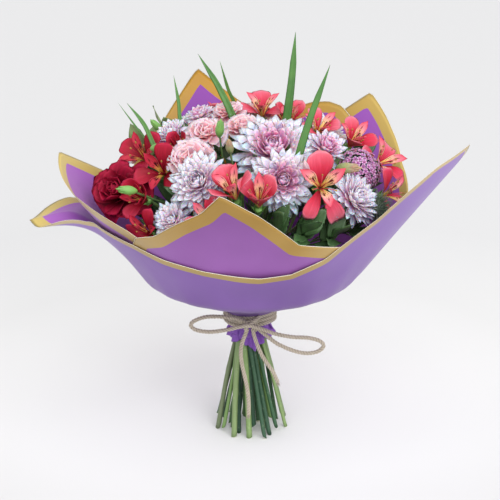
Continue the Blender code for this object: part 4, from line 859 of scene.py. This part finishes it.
# by kind, in shares of the radius: the base's depth, and the calyx's length and half-width
baseForms = {
    "mum": (0.22, 0.16, 0.2), "rose": (0.45, 0.3, 0.24), "carnation": (0.3, 0.7, 0.22),
    "floret": (0.3, 0.2, 0.2), "coral": (0.55, 0.3, 0.14), "crimson": (0.55, 0.3, 0.14),
    "thistle": (0.3, 0.15, 0.14), "else": (0.3, 0.3, 0.14),
}
greenFills = ("stem", "cut", "leaf", "calyx", "foliage", "stripedBud", "pinkBud", "thistle", "grass")
greenSlots = {name: index for index, name in enumerate(greenFills)}


class Head:
    def __init__(self, name):
        self.name = name
        self.kind, centre, radius, facing, *spin = heads[name]
        self.radius = radius * mm
        self.centre = np.array(centre) * mm + axisAt
        self.axes = axesFor(facing)
        self.axis = self.axes[:, 2]
        self.spin = math.radians(sum(spin))
        depth, long, wide = np.array(baseForms.get(self.kind, baseForms["else"])) * self.radius
        self.base = self.centre - self.axis * depth
        self.calyxLong, self.calyxWide = long, wide
        self.draw = np.random.default_rng(sum(map(ord, name)) * 7)

    def placed(self, points):
        return insideFilm(self.base + points @ self.axes.T)

    def neck(self):
        if self.kind == "leaf":
            return self.centre - unit(self.centre - focus) * 0.95 * self.radius
        return self.base - self.axis * self.calyxLong


def insideFilm(points):
    # what would pass the film's inner face is bent back along it
    offset = points - axisAt
    radius = np.linalg.norm(offset[..., :2], axis=-1)
    sine = offset[..., 0] / np.maximum(radius, 1e-6)
    over = offset[..., 2] - film["creaseHeight"]
    slope = film["slopeFront"] + film["slopeSideMore"] * sine**2
    rise = (film["creaseRadius"] - film["waist"]) / (film["creaseHeight"] - film["neck"])
    limit = film["creaseRadius"] + over * np.where(over > 0, slope, rise)
    limit = np.maximum(limit - film["clearance"], 3 * mm)
    soft = film["softening"]
    past = np.maximum(radius - (limit - soft), 0)
    bent = np.where(past > 0, limit - soft + soft * (1 - np.exp(-past / soft)), radius)
    share = (bent / np.maximum(radius, 1e-6))[..., None]
    return axisAt + np.concatenate((offset[..., :2] * share, offset[..., 2:]), axis=-1)


mum = {
    "fullFrom": 25 * mm,  # the radius from which a bloom has its full number of petals
    "full": 150,
    "small": 92,
    "outline": ((0, 0.3, 0.65, 0.88, 1), (0.36, 0.74, 1.0, 0.88, 0.4)),
    "blush": ((0.6, 1.1), (0.3, 0.72)),  # shares of the petals between which the pink comes in
    "pinker": ("chrysanthemum_1", "chrysanthemum_2", "chrysanthemum_4", "chrysanthemum_7"),
}


def mumParts(head):
    # petals spiral in from flat and long to upright and short; the innermost curl over the heart
    r, draw = head.radius, head.draw
    full = r > mum["fullFrom"]
    count = mum["full"] if full else mum["small"]
    q = np.linspace(0, 1, count)
    azimuth = np.arange(count) * goldenAngle + draw.normal(0, 0.1, count)
    pitch = np.radians(-14 + 92 * q**0.92) + draw.normal(0, 0.09, count)
    curl = 0.15 + 0.85 * q + draw.normal(0, 0.16, count)
    length = r * (1.04 - 0.62 * q**1.1) * draw.uniform(0.9, 1.08, count)
    width = r * (0.315 - 0.08 * q) * draw.uniform(0.85, 1.15, count) * (1 if full else 1.2)
    cup = draw.uniform(0.25, 0.6, count)
    strips = petalStrips(
        azimuth, pitch, curl, length, width, cup, r * (0.16 - 0.13 * q), r * (0.04 + 0.1 * q), 7, 5,
        mum["outline"], 0.2, twist=draw.normal(0, 0.22, count))
    blush = smoothStep(q, *mum["blush"][head.name in mum["pinker"]])
    return [shellPart(head.placed(strips), 0.25 * mm, tone=blush * draw.uniform(0.7, 1, count))]


alstroemeria = {
    "outer": ((0, 0.2, 0.42, 0.62, 0.8, 0.93, 1), (0.1, 0.2, 0.55, 0.92, 1, 0.72, 0.3)),
    "inner": ((0, 0.35, 0.62, 0.82, 1), (0.22, 0.45, 1, 0.85, 0.12)),
    "closed": {  # how far the bloom's opening falls short of the full bend
        "alstroemeria_front_2": 0.45, "alstroemeria_front_3": 0.85, "alstroemeria_back_2": 0.7,
        "alstroemeria_right_1": 0.5, "alstroemeria_left_5": 0.8, "alstroemeria_left_3": 0.5,
        "alstroemeria_back_5": 0.6,
    },
    "hanging": {  # turn, further bend and breadth of the three broad tepals
        "alstroemeria_front_4": ((0.1, 0.45, -0.66), (0.2, -0.9, -1.1), (1.12, 0.62, 0.66)),
        "alstroemeria_right_3": ((0, 0.2, -0.2), (0.3, -0.6, -0.8), (1.0, 0.7, 0.7)),
    },
    "filament": np.linspace(0.55, 0.4, 7) * mm,  # radii along the stamen's thread
    "anther": np.array((-1.0, -0.4, 0.6, 1.4, 1.8))[None, :, None] * mm,  # places along the anther
    "antherRadii": np.array((0.3, 0.75, 0.9, 0.7, 0.25)) * mm,
}


def alstroemeriaParts(head):
    # three broad tepals and three narrow streaked ones bend open from a funnel, with six stamens
    r, draw, third = head.radius, head.draw, 2 * math.pi / 3
    azimuth = head.spin + np.arange(3) * third + draw.normal(0, 0.07, 3)
    phase = draw.uniform(0, 6.3, (3, 1, 1))
    closed = draw.uniform(-0.1, 0.3) + alstroemeria["closed"].get(head.name, 0)
    turn, hang, broad = alstroemeria["hanging"].get(head.name, ((0, 0, 0), (0, 0, 0), (1, 1, 1)))
    pitch = 1.15 + draw.normal(0, 0.08, 3)
    curl = -1.25 + closed + np.array(hang) + draw.normal(0, 0.12, 3)
    outer = petalStrips(
        azimuth + turn, pitch, curl, 1.42 * r, r * draw.uniform(0.78, 1.05, 3) * broad, 0.5, 0.02 * r,
        0.05 * r, 12, 11, alstroemeria["outer"], 0.1,
        ruffle=lambda s, u: 0.05 * r * s * np.sin(6 * s + 3 * u + phase) * np.abs(u))
    pitch = 1.28 + draw.normal(0, 0.06, 3)
    curl = -0.95 + closed + draw.normal(0, 0.1, 3)
    inner = petalStrips(
        azimuth + third / 2, pitch, curl, 1.45 * r, r * draw.uniform(0.42, 0.52, 3), 0.95, 0.02 * r,
        0.07 * r, 12, 9, alstroemeria["inner"], 0.15)
    around = head.spin + np.arange(6)[:, None] * third / 2 + draw.normal(0, 0.2, (6, 1))
    pitch = draw.uniform(1.25, 1.5, (6, 1))
    length = draw.uniform(0.75, 1.0, (6, 1)) * r
    _, out, up = arc(pitch, -0.45, length, 0.02 * r, 0.1 * r, np.linspace(0, 1, 7))
    lines = np.stack((np.cos(around) * out, np.sin(around) * out, up), axis=-1)
    anthers = lines[:, -1:] + unit(lines[:, -1:] - lines[:, -2:-1]) * alstroemeria["anther"]
    return [
        shellPart(head.placed(outer), 0.4 * mm, tone=draw.uniform(0, 0.9, 3)),
        shellPart(head.placed(inner), 0.35 * mm, tone=draw.uniform(0, 0.6, 3), slot=1),
        rodPart(head.placed(lines), alstroemeria["filament"], 5, tone=0.5),
        rodPart(head.placed(anthers), alstroemeria["antherRadii"], 6, slot=2),
    ]


carnation = {
    "petals": 26,
    "outline": ((0, 0.35, 0.65, 0.88, 1), (0.14, 0.36, 0.84, 1, 0.86)),
}


def carnationParts(head):
    # fans with toothed, ruffled rims, from nearly flat outside to upright inside
    r, draw, count = head.radius, head.draw, carnation["petals"]
    q = np.linspace(0, 1, count)
    phase = draw.uniform(0, 6.3, (count, 1, 1))
    deep = draw.uniform(0.06, 0.12, (count, 1, 1)) * r
    azimuth = np.arange(count) * goldenAngle + draw.normal(0, 0.15, count)
    pitch = 0.3 + 1.1 * q + draw.normal(0, 0.1, count)
    length = r * (1.14 - 0.3 * q) * draw.uniform(0.94, 1.05, count)
    strips = petalStrips(
        azimuth, pitch, -0.75 + 1.0 * q, length, r * (1.35 - 0.35 * q), 0.6, 0.05 * r * (1 - q), 0.02 * r,
        9, 17, carnation["outline"], 0.15, teeth=0.014,
        ruffle=lambda s, u: (
            deep * s**2.5 * np.sin(4.6 * u + phase) + 0.2 * deep * s**4 * np.sin(11 * u - phase)))
    return [shellPart(head.placed(strips), 0.3 * mm, tone=q * draw.uniform(0.4, 1, count))]


rose = {
    "petals": 28,
    "outline": ((0, 0.3, 0.62, 0.85, 1), (0.3, 0.75, 1, 0.85, 0.5)),
}


def roseParts(head):
    # broad velvet petals: the outer ones fall open, the inner ones wrap the heart
    r, draw, count = head.radius, head.draw, rose["petals"]
    q = np.linspace(0, 1, count)
    phase = draw.uniform(0, 6.3, (count, 1, 1))
    pitch = 0.5 + 0.95 * q + draw.normal(0, 0.08, count)
    width = r * (1.3 - 0.7 * q) * draw.uniform(0.9, 1.1, count)
    strips = petalStrips(
        np.arange(count) * goldenAngle, pitch, -0.95 + 1.5 * q, r * (1.3 - 0.45 * q), width, 0.5 + 0.8 * q,
        r * (0.12 - 0.1 * q), 0.02 * r, 10, 11, rose["outline"], 0.1,
        ruffle=lambda s, u: 0.06 * r * s**2 * np.sin(4 * u + phase))
    return [shellPart(head.placed(strips), 0.45 * mm, tone=q)]


def capDirections(count, widest):
    # unit vectors spread by the golden angle over a cap of that half-angle
    height = 1 - (np.arange(count) + 0.5) / count * (1 - math.cos(widest))
    flat = np.sqrt(1 - height**2)
    turn = np.arange(count) * goldenAngle
    return np.stack((flat * np.cos(turn), flat * np.sin(turn), height), axis=1)


floret = {
    "stars": 130,
    "widest": math.radians(105),
    "petal": (3.6 * mm, 2.7 * mm),  # length and width
    "outline": ((0, 0.5, 0.8, 1), (0.25, 0.9, 1, 0.5)),
    "stalk": np.array((0.5, 0.5, 0.8)) * mm,
}


def floretParts(head):
    # small five-petalled stars over a dome, on stalks from its middle
    r, draw, count = head.radius, head.draw, floret["stars"]
    out = capDirections(count, floret["widest"])
    spots = out * r * draw.uniform(0.82, 1.0, (count, 1)) * (1, 1, 0.85) + (0, 0, 0.12 * r)
    star = petalStrips(
        np.arange(5) * 2 * math.pi / 5, 0.5, -0.3, *floret["petal"], 0.4, 0, 0, 4, 3, floret["outline"], 0.2)
    frames = np.stack([axesFor(way + draw.normal(0, 0.18, 3), draw.uniform(0, 6)) for way in out])
    stars = np.einsum("nij,mrcj->nmrci", frames, star) + spots[:, None, None, None]
    stars = stars.reshape(-1, *star.shape[1:])
    stalks = np.stack((spots * 0.25, spots * 0.75, spots), axis=1)
    tone = np.repeat(draw.uniform(0, 1, count), 5)
    return [
        shellPart(head.placed(stars), 0.2 * mm, tone=tone),
        rodPart(head.placed(stalks), floret["stalk"], 4, slot=1),
    ]


thistle = {
    "spines": 260,
    "widest": math.radians(140),
    "spine": np.array((0.5, 0.35, 0.12)) * mm,
}


def thistleParts(head):
    # a dark egg bristling with fine spines
    r, draw, count = head.radius, head.draw, thistle["spines"]
    out = capDirections(count, thistle["widest"])
    core = np.linspace(-0.35, 0.75, 9)[:, None] * upward * r
    wide = np.sqrt(np.maximum(1 - np.linspace(-1, 1, 9) ** 2, 0.02)) * 0.62 * r
    lift = upward * 0.2 * r
    tip = out * r * draw.uniform(0.85, 1.2, (count, 1)) + lift + draw.normal(0, 0.8, (count, 3)) * mm
    spines = fibres(out * 0.5 * r + lift, tip, draw.normal(0, 0.5, (count, 3)) * mm)
    slot = greenSlots["thistle"]
    return [
        rodPart(head.placed(core)[None], wide, 12, tone=0, slot=slot),
        rodPart(head.placed(spines), thistle["spine"], 4, tone=draw.uniform(0, 1, count), slot=slot),
    ]


bud = {
    "sepals": 5,
    "outline": ((0, 0.4, 0.75, 1), (0.5, 1, 0.7, 0.12)),
}


def budParts(head):
    # an egg with sepals or closed petals laid along it
    r, draw, count = head.radius, head.draw, bud["sepals"]
    slot = greenSlots["calyx" if head.kind == "bud" else head.kind]
    t = np.linspace(0, 1, 12)
    core = (-1.0 + 2.8 * t)[:, None] * upward * r
    wide = r * (0.16 + 0.44 * np.sin(math.pi * np.minimum(t * 1.06, 1) ** 0.85))
    wide = wide * np.interp(t, (0, 0.85, 1), (1, 0.9, 0.25))
    sepals = petalStrips(
        np.arange(count) * 2 * math.pi / count, 1.12, 0.8, 2.6 * r, 0.66 * r, 0.9, 0.14 * r, -0.95 * r,
        9, 5, bud["outline"], 0.2)
    return [
        rodPart(head.placed(core)[None], wide, 14, tone=0.4, slot=slot),
        shellPart(head.placed(sepals), 0.3 * mm, tone=draw.uniform(0.1, 0.8, count), slot=slot),
    ]


bloomKinds = {
    "mum": (mumParts, ("mum",), "chrysanthemum_lilac"),
    "coral": (alstroemeriaParts, ("coral", "coralInner", "anther"), "alstroemeria_coral"),
    "crimson": (alstroemeriaParts, ("crimson", "crimsonInner", "anther"), "alstroemeria_crimson"),
    "carnation": (carnationParts, ("carnation",), "carnation_pink"),
    "rose": (roseParts, ("rose",), "rose_crimson"),
    "floret": (floretParts, ("floret", "stem"), "floret_magenta"),
}


def makeBlooms():
    for name, row in heads.items():
        if row[0] in bloomKinds:
            build, fills, slot = bloomKinds[row[0]]
            makePiece(name.replace("_", "Bloom", 1), build(Head(name)), fills, name)


makeBlooms()
print("blooms made")


# Stems: each CAD stem node's radius in mm, and the heads or blades on each of its sprays

stemNodes = {
    "chrysanthemum_stems_front": (2.5, "chrysanthemum 1 2", "chrysanthemum 4 5"),
    "chrysanthemum_stems_left": (2.5, "chrysanthemum 3 8", "chrysanthemum 6 7"),
    "chrysanthemum_stems_back": (2.5, "chrysanthemum 9", "chrysanthemum 10"),
    "carnation_stems_front": (2.2, "carnation 1 4 bud 1 pinkBud 1", "carnation 2 3 stripedBud 2"),
    "carnation_and_ruscus_back": (2.2, "carnation 5", "ruscus 5"),
    "rose_and_carnation_left": (2.5, "rose 1", "carnation 6 bud 2 3 4"),
    "alstroemeria_stems_left": (2.4, "alstroemeria_left 1 5", "alstroemeria_left 2 3 4"),
    "alstroemeria_stems_front": (
        2.4, "alstroemeria_front 1 2", "alstroemeria_front 3", "alstroemeria_front 4 pinkBud 2"),
    "alstroemeria_stems_back": (
        2.4, "alstroemeria_back 1 2", "alstroemeria_back 3", "alstroemeria_back 4", "alstroemeria_back 5"),
    "alstroemeria_stem_right": (2.4, "alstroemeria_right 1 2 3"),
    "floret_and_thistle_stems": (2.2, "floret 1 stripedBud 1", "thistle 1"),
    "ruscus_front": (2.2, "ruscus 1 2 3 6 7 8"),
    "ruscus_and_grass_right": (2.2, "ruscus 4", "blade 5 6"),
    "foliage_and_grass_left": (2.2, "foliage 1 2", "blade 1 2 3 4 7"),
}
# Grass blades: the points each passes above the heads, in mm, and its width in mm
grass = {
    "blade_1": (((-14, 24, 322), (-30, 31, 362), (-53, 38, 399)), 8),
    "blade_2": (((-14, 60, 330), (-23, 57, 358), (-31, 52, 388)), 4.5),
    "blade_3": (((-70, 40, 320), (-74, 48, 346), (-79, 56, 372)), 5),
    "blade_4": (((-90, -6, 303), (-108, 12, 332), (-126, 28, 350)), 6),
    "blade_5": (((35, 22, 318), (42, 24, 372), (46, 28, 424)), 9),
    "blade_6": (((39, -66, 292), (56, -64, 352), (77, -62, 412)), 8),
    "blade_7": (((-90, 5, 298), (-111, 20, 319), (-136, 40, 347)), 2.5),
}
stems = {
    "rows": 40,
    "footBelow": 12 * mm,  # points of the solid under this height belong to its cut ends
    "footWithin": 6.5 * mm,  # and those this near to each other to the same one
    "footSpread": 2.1,  # the spread is 1 in the tie, and this much more at the floor
    "twist": math.radians(38),
    "tiedFrom": 120 * mm,
    "tiedTo": 143 * mm,
    "knee": 166 * mm,
    "kneeSpread": 2.7,
    "fork": 0.45,  # a fork's share of the way out to the middle of its spray
    "tieToFork": 6,  # a place in the tie is set against a fork at this many times its distance out
    "branch": 1.5 * mm,
    "sides": 10,
    "sepal": ((0, 0.5, 1), (1, 0.8, 0.1)),
    "leaf": ((0, 0.12, 0.42, 0.72, 0.9, 1), (0.08, 0.5, 1, 0.75, 0.34, 0.02)),
    "blade": ((0, 0.3, 0.6, 0.85, 1), (0.15, 0.42, 0.5, 0.36, 0.015)),
    # a sprig's leaves: turn in radians from its line, and start along it and length, both in shares
    "sprig": ((0.0, 0.3, 1.0), (-0.75, 0.0, 0.9), (0.75, 0.0, 0.9), (-0.6, -0.6, 0.85), (0.6, -0.6, 0.85)),
}


def headNames(spray):
    # "carnation 1 4 bud 1" gives carnation_1, carnation_4 and bud_1
    names, family = [], ""
    for word in spray.split():
        if word.isdigit():
            names.append(f"{family}_{word}")
        else:
            family = word
    return names


def feetOf(name):
    # the middles of a stem node's cut ends, from its own lowest points
    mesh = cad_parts[name].data
    points = np.zeros(len(mesh.vertices) * 3)
    mesh.vertices.foreach_get("co", points)
    low = points.reshape(-1, 3)
    low = np.unique(np.round(low[low[:, 2] < stems["footBelow"]], 5), axis=0)
    feet = []
    while len(low):
        near = np.linalg.norm(low[:, :2] - low[0, :2], axis=1) < stems["footWithin"]
        feet.append(low[near].mean(axis=0) - axisAt)
        low = low[~near]
    return feet


def tiedPlace(foot):
    # where a foot's stem lies in the tie: the foot drawn in and turned back
    away = (stems["tiedFrom"] - foot[2]) / stems["tiedFrom"]
    c, s = math.cos(-stems["twist"] * away), math.sin(-stems["twist"] * away)
    spread = 1 + stems["footSpread"] * away
    return np.array((c * foot[0] - s * foot[1], s * foot[0] + c * foot[1])) / spread


def neckOf(name):
    return np.array(grass[name][0][0]) * mm + axisAt if name in grass else Head(name).neck()


def orderFeet(feet, forks):
    # the sharing out of feet to sprays whose places in the tie lie nearest to their forks' directions
    def cost(some):
        gaps = [
            tiedPlace(foot) * stems["tieToFork"] - (fork - axisAt)[:2] for foot, fork in zip(some, forks)]
        return np.linalg.norm(gaps, axis=1).sum()

    return min(itertools.permutations(feet, len(forks)), key=cost)


def stemParts(foot, fork, radius, draw):
    # a round stem with swollen joints and a slanting pale cut
    place, rows, sides = tiedPlace(foot), stems["rows"], stems["sides"]
    knee = np.array((*(place * stems["kneeSpread"]), stems["knee"]))
    low = np.array((*place, stems["tiedFrom"]))
    bow = np.array((*draw.normal(0, 1.1, 2), 0)) * mm
    points = (foot, (foot + low) / 2 + bow, low, np.array((*place, stems["tiedTo"])), knee, fork - axisAt)
    path = curveThrough(points, rows) + axisAt
    run = np.linspace(0, 1, rows)
    joints = np.exp(-(((run * draw.uniform(3, 4.5) + draw.uniform(0, 1)) % 1 - 0.5) / 0.045) ** 2)
    wide = radius * draw.uniform(0.78, 1.25) * (1.05 - 0.25 * run) * (1 + 0.14 * joints)
    wide[:2] = wide[2]
    part = rodPart(path[None], wide, sides, tone=draw.uniform(0, 1), slot=greenSlots["stem"])
    ring = part["points"][:sides]
    lean = draw.uniform(0, 2 * math.pi)
    across = (ring - path[0])[:, :2] @ (math.cos(lean), math.sin(lean))
    ring[:, 2] = foot[2] + (across + wide[0]) * draw.uniform(0.25, 0.8) + 0.05 * mm
    part["points"][rows * sides, 2] = ring[:, 2].mean()
    part["slots"][len(part["quads"]):len(part["quads"]) + sides] = greenSlots["cut"]
    return part, path


def cupParts(head, neck):
    # the green cup under a bloom, and the pointed sepals round it
    r, top = head.radius, head.calyxWide
    t = np.linspace(0, 1, 8)
    line = neck + head.axis * (t * head.calyxLong)[:, None]
    wide = np.interp(t, (0, 0.3, 0.85, 1), (stems["branch"] * 1.1, 0.85 * top, top, 0.9 * top))
    long = (0.45 if head.kind == "mum" else 0.3) * r
    sepals = petalStrips(
        np.arange(6) * math.pi / 3, 1.2, -0.3, long, 0.2 * r, 0.5, top * 0.9, -0.12 * r, 6, 5,
        stems["sepal"], 0.1)
    slot = greenSlots["calyx"]
    return [
        rodPart(line[None], wide, 12, tone=0.3, slot=slot),
        shellPart(head.placed(sepals), 0.3 * mm, tone=head.draw.uniform(0, 0.6, 6), slot=slot),
    ]


def leafPart(root, tip, face, width, fill, tone):
    # a pointed oval that arches from root to tip, hollow along its midrib
    length = np.linalg.norm(tip - root)
    along = unit(tip - root)
    side = unit(np.cross(face, along))
    axes = np.column_stack((along, side, np.cross(along, side)))
    strip = petalStrips(
        0, 0.175, -0.35, length * 1.02, width, 0.4, 0, 0, 11, 7, stems["leaf"], 0.0,
        ruffle=lambda s, u: 0.05 * width * np.sin(9 * s + 2 * u) * np.abs(u))
    return shellPart(insideFilm(root + strip @ axes.T), 0.35 * mm, tone=tone, slot=greenSlots[fill])


def fillLeaves(head, root, draw):
    # dark leaves that stand between the blooms
    parts = []
    outward = unit(head.centre - focus)
    aside = unit(np.cross(outward, upward))
    for turn in (draw.uniform(0.35, 0.65), -draw.uniform(0.35, 0.65), draw.uniform(-0.15, 0.15)):
        lean = unit(outward + aside * turn + draw.normal(0, 0.12, 3))
        tip = root + lean * (np.linalg.norm(head.neck() - root) + draw.uniform(0.35, 0.7) * head.radius)
        face = unit(head.axis - outward * 0.4 + draw.normal(0, 0.15, 3))
        tone = draw.uniform(0, 0.5)
        parts.append(leafPart(root, tip, face, draw.uniform(13, 19) * mm, "leaf", tone))
    return parts


def sprigParts(head, neck, draw):
    # a twig's end with leaves on both sides and one at its tip
    parts = []
    grow = unit(head.centre - focus)
    across = unit(np.cross(grow, head.axis))
    fill = "foliage" if head.name.startswith("foliage") else "leaf"
    for turn, start, share in stems["sprig"]:
        root = neck + grow * start * head.radius
        along = unit(grow * math.cos(turn) + across * math.sin(turn) + draw.normal(0, 0.08, 3))
        tip = root + along * 2.0 * head.radius * share
        face = unit(head.axis + draw.normal(0, 0.2, 3))
        width = head.radius * draw.uniform(0.95, 1.25)
        parts.append(leafPart(root, tip, face, width, fill, draw.uniform(0, 0.7)))
    return parts


def bladePart(name, start, lead):
    # a grass blade: a long strip folded along its middle
    points, wide = grass[name]
    points = [start, lead, *(np.array(points) * mm + axisAt)]
    path = curveThrough(points, stems["rows"])
    side = unit(np.cross(points[-1] - points[1], (0, -1, 0)))
    normal = unit(np.cross(side, points[-1] - points[1]))
    run = np.linspace(0, 1, stems["rows"])[:, None, None]
    u = np.linspace(-1, 1, 5)[None, :, None]
    half = np.interp(run, *stems["blade"]) * wide * mm
    wave = 0.5 * mm * np.sin(14 * run)
    strip = path[:, None] + side * half * u + normal * (half * 0.35 * np.abs(u) + wave)
    return shellPart(strip[None], 0.3 * mm, tone=0.3 if wide > 6 else 0.7, slot=greenSlots["grass"])


def branchParts(name, fork, run, draw):
    # a cubic Bezier branch from the stem's fork to the neck of what it carries
    neck = neckOf(name)
    long = np.linalg.norm(neck - fork)
    ahead = unit(neck - fork)
    start = fork - run * 2 * mm + ahead * 0.7 * mm
    lead = fork + (run + ahead) * 0.125 * long
    if name in grass:
        return [bladePart(name, start, lead + ahead * 0.35 * long)]
    head = Head(name)
    rise = neck - (head.axis * 0.35 + unit(neck - focus) * 0.65) * 0.3 * long
    t = np.linspace(0, 1, 16)[:, None]
    path = (1 - t) ** 3 * start + 3 * (1 - t) ** 2 * t * lead + 3 * (1 - t) * t * t * rise + t**3 * neck
    carries = head.kind in bloomKinds
    radius = stems["branch"] * (1 if carries else 0.65)
    parts = [rodPart(path[None], radius, 8, tone=draw.uniform(0.3, 0.8), slot=greenSlots["stem"])]
    if carries:
        return parts + cupParts(head, neck) + fillLeaves(head, path[7], draw)
    if head.kind == "leaf":
        return parts + sprigParts(head, neck, draw)
    return parts + (thistleParts if head.kind == "thistle" else budParts)(head)


def makeStems():
    for number, (name, (radius, *sprays)) in enumerate(stemNodes.items()):
        draw = np.random.default_rng(300 + number)
        sprays = [headNames(spray) for spray in sprays]
        middles = np.array([np.mean([neckOf(head) for head in spray], axis=0) for spray in sprays])
        forks = focus + (middles - focus) * stems["fork"]
        parts = []
        for foot, fork, spray in zip(orderFeet(feetOf(name), forks), forks, sprays):
            stem, path = stemParts(foot, fork, radius * mm, draw)
            parts.append(stem)
            run = unit(path[-1] - path[-3])
            for head in spray:
                parts += branchParts(head, fork, run, draw)
        makePiece("greens_" + name, parts, greenFills,
                  name)


makeStems()
print("stems made")


# Floor and light

studio = {
    "floorSide": 14.0,
    "worldStrength": 0.85,
    "aim": Vector((0, 0, 0.25)),
    # kind, place, angle or size, power
    "lights": {
        "keyLight": ("SUN", (0.2, -1.25, 2.0), 1.15, 1.8),
        "fillLight": ("AREA", (1.0, -1.9, 1.0), 1.6, 15),
    },
}


def makeStudio():
    mesh = bpy.data.meshes.new("floor")
    half = studio["floorSide"] / 2
    corners = [(x * half, y * half, 0) for x, y in ((-1, -1), (1, -1), (1, 1), (-1, 1))]
    mesh.from_pydata(corners, [], [(0, 1, 2, 3)])
    mesh.materials.append(materials["floor"])
    addObject("floor", mesh)
    world = bpy.data.worlds.new("studio")
    world.use_nodes = True
    background = world.node_tree.nodes["Background"]
    background.inputs["Color"].default_value = (1, 1, 1, 1)
    background.inputs["Strength"].default_value = studio["worldStrength"]
    bpy.context.scene.world = world
    bpy.context.scene.view_settings.view_transform = "Standard"
    for name, (kind, place, size, power) in studio["lights"].items():
        data = bpy.data.lights.new(name, kind)
        setattr(data, "angle" if kind == "SUN" else "size", size)
        data.energy = power
        light = addObject(name, data)
        light.location = place
        light.rotation_euler = (studio["aim"] - Vector(place)).to_track_quat("-Z", "Y").to_euler()


makeStudio()
